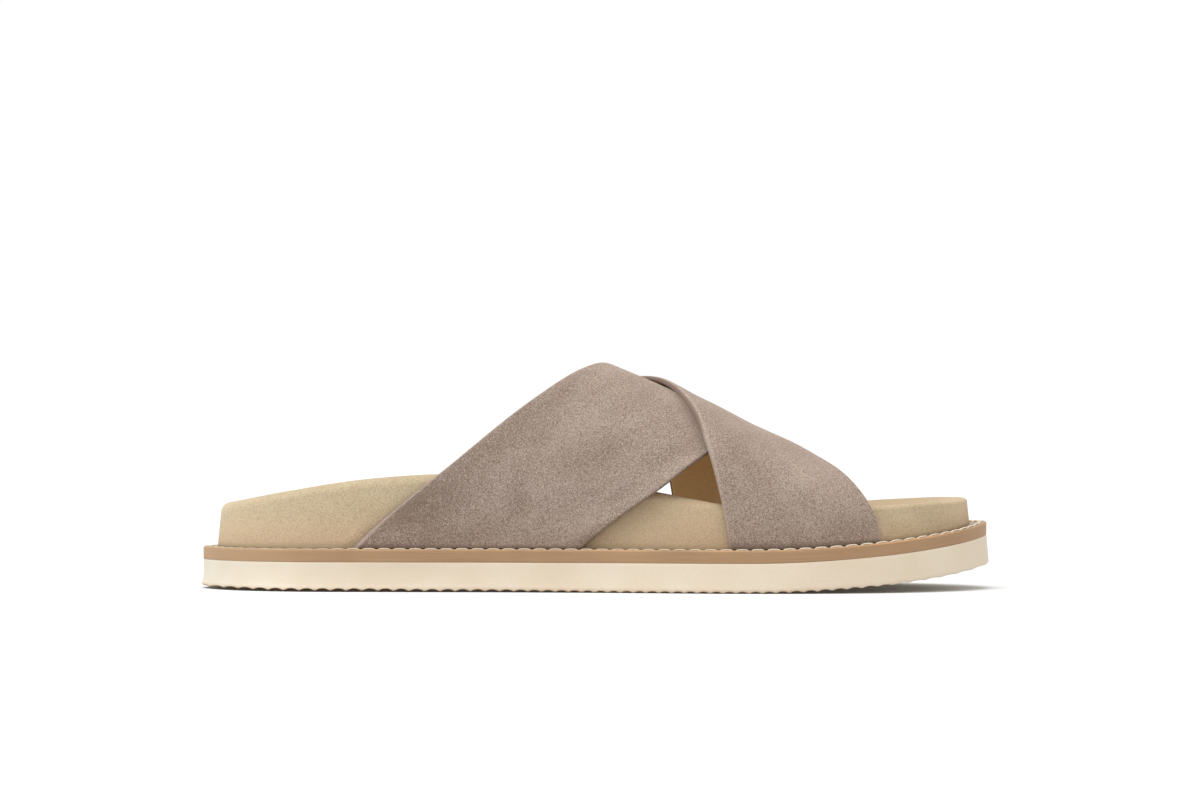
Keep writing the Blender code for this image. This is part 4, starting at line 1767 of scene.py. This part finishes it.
@dataclass(frozen=True)
class Upper:
    """The two crossed straps with their linings."""

    last: Last

    def build(self, suede: SuedeFinish, lining: SuedeFinish) -> list[bpy.types.Object]:
        """Builds both straps; the one underneath stands for the upper's solid.

        Args:
            suede: Finish of the outside.
            lining: Finish of the inside.

        Returns:
            Straps and linings.
        """
        made = []
        for layer in StrapLayer:
            strap = Strap(self.last, layer)
            made += [strap.build_suede(suede), strap.build_lining(lining)]
        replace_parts(made[0], "upper")
        return made


@dataclass(frozen=True)
class Studio:
    """Pale floor, soft light from above with a fill from the heel, and a level camera on the medial side."""

    distance: float = 1.6
    camera_x: float = 0.002
    camera_height: float = 0.0682
    metres_per_pixel: float = 0.000364
    image_width: int = 1200
    sensor: float = 36.0
    floor_size: float = 12.0
    sky: float = 1.01
    sun: float = 2.2
    sun_from: tuple[float, float, float] = (-0.3, -0.4, 2.6)
    sun_angle: float = 35.0
    fill: float = 4.0
    fill_colour: Colour = (0.78, 1.0, 1.10)
    fill_from: tuple[float, float, float] = (-0.9, -0.4, 0.5)
    fill_size: float = 0.7

    def build(self, finish: FloorFinish) -> None:
        """Sets the floor, the sky, the lights, the camera and plain colour output.

        Args:
            finish: Look of the floor.
        """
        self.floor(finish)
        self.world()
        sun = self.lamp("SUN", self.sun, self.sun_from)
        sun.angle = math.radians(self.sun_angle)
        fill = self.lamp("AREA", self.fill, self.fill_from)
        fill.size = self.fill_size
        fill.color = self.fill_colour
        self.camera()
        view = bpy.context.scene.view_settings
        view.view_transform = "Standard"
        view.look = "None"

    def floor(self, finish: FloorFinish) -> None:
        """A square sheet just under the sole.

        Args:
            finish: Look of the floor.
        """
        half = self.floor_size / 2
        corners = np.array([[-half, -half, 0], [half, -half, 0], [half, half, 0], [-half, half, 0]])
        mesh = bpy.data.meshes.new("floor")
        mesh.from_pydata((corners - [0, 0, 2 * WELD]).tolist(), [], [(0, 1, 2, 3)])
        mesh.materials.append(finish.material())
        made = bpy.data.objects.new("floor", mesh)
        bpy.context.scene.collection.objects.link(made)

    def world(self) -> None:
        """An even white surround."""
        world = bpy.data.worlds.new("surround")
        world.use_nodes = True
        background = world.node_tree.nodes["Background"]
        background.inputs["Color"].default_value = (1.0, 1.0, 1.0, 1.0)
        background.inputs["Strength"].default_value = self.sky
        bpy.context.scene.world = world

    def lamp(self, kind: str, power: float, place: tuple[float, float, float]) -> bpy.types.Light:
        """A soft light aimed at the sandal's middle.

        Args:
            kind: Blender's type of light.
            power: Its strength.
            place: Where it stands, or the side that it shines from.

        Returns:
            The light.
        """
        light = bpy.data.lights.new(kind.lower(), kind)
        light.energy = power
        made = bpy.data.objects.new(kind.lower(), light)
        made.location = place
        tilt = math.atan2(math.hypot(place[0], place[1]), place[2])
        made.rotation_euler = (tilt, 0.0, math.atan2(place[0], -place[1]))
        bpy.context.scene.collection.objects.link(made)
        return light

    def camera(self) -> None:
        """A level camera whose picture is image_width pixels wide."""
        lens = bpy.data.cameras.new("camera")
        lens.sensor_fit = "HORIZONTAL"
        lens.sensor_width = self.sensor
        lens.lens = self.distance / self.metres_per_pixel * self.sensor / self.image_width
        lens.clip_end = self.floor_size * 2
        made = bpy.data.objects.new("camera", lens)
        made.location = (self.camera_x, -self.distance, self.camera_height)
        made.rotation_euler = (math.pi / 2, 0.0, 0.0)
        bpy.context.scene.collection.objects.link(made)
        bpy.context.scene.camera = made


def main() -> None:
    """Builds the sandal's pieces in the order in which a maker joins them, and the studio round them."""
    logging.basicConfig(level=logging.INFO, format="%(message)s")
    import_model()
    Studio().build(FloorFinish())
    sole = SoleForm()
    welt = Welt(sole)
    Outsole(sole).build(FoamFinish())
    welt.build(WeltFinish())
    WeltStitching(welt).build(ThreadFinish())
    Footbed(sole).build(FOOTBED_SUEDE)
    Upper(Last(sole)).build(UPPER_SUEDE, LINING_SUEDE)


if __name__ == "__main__":
    main()
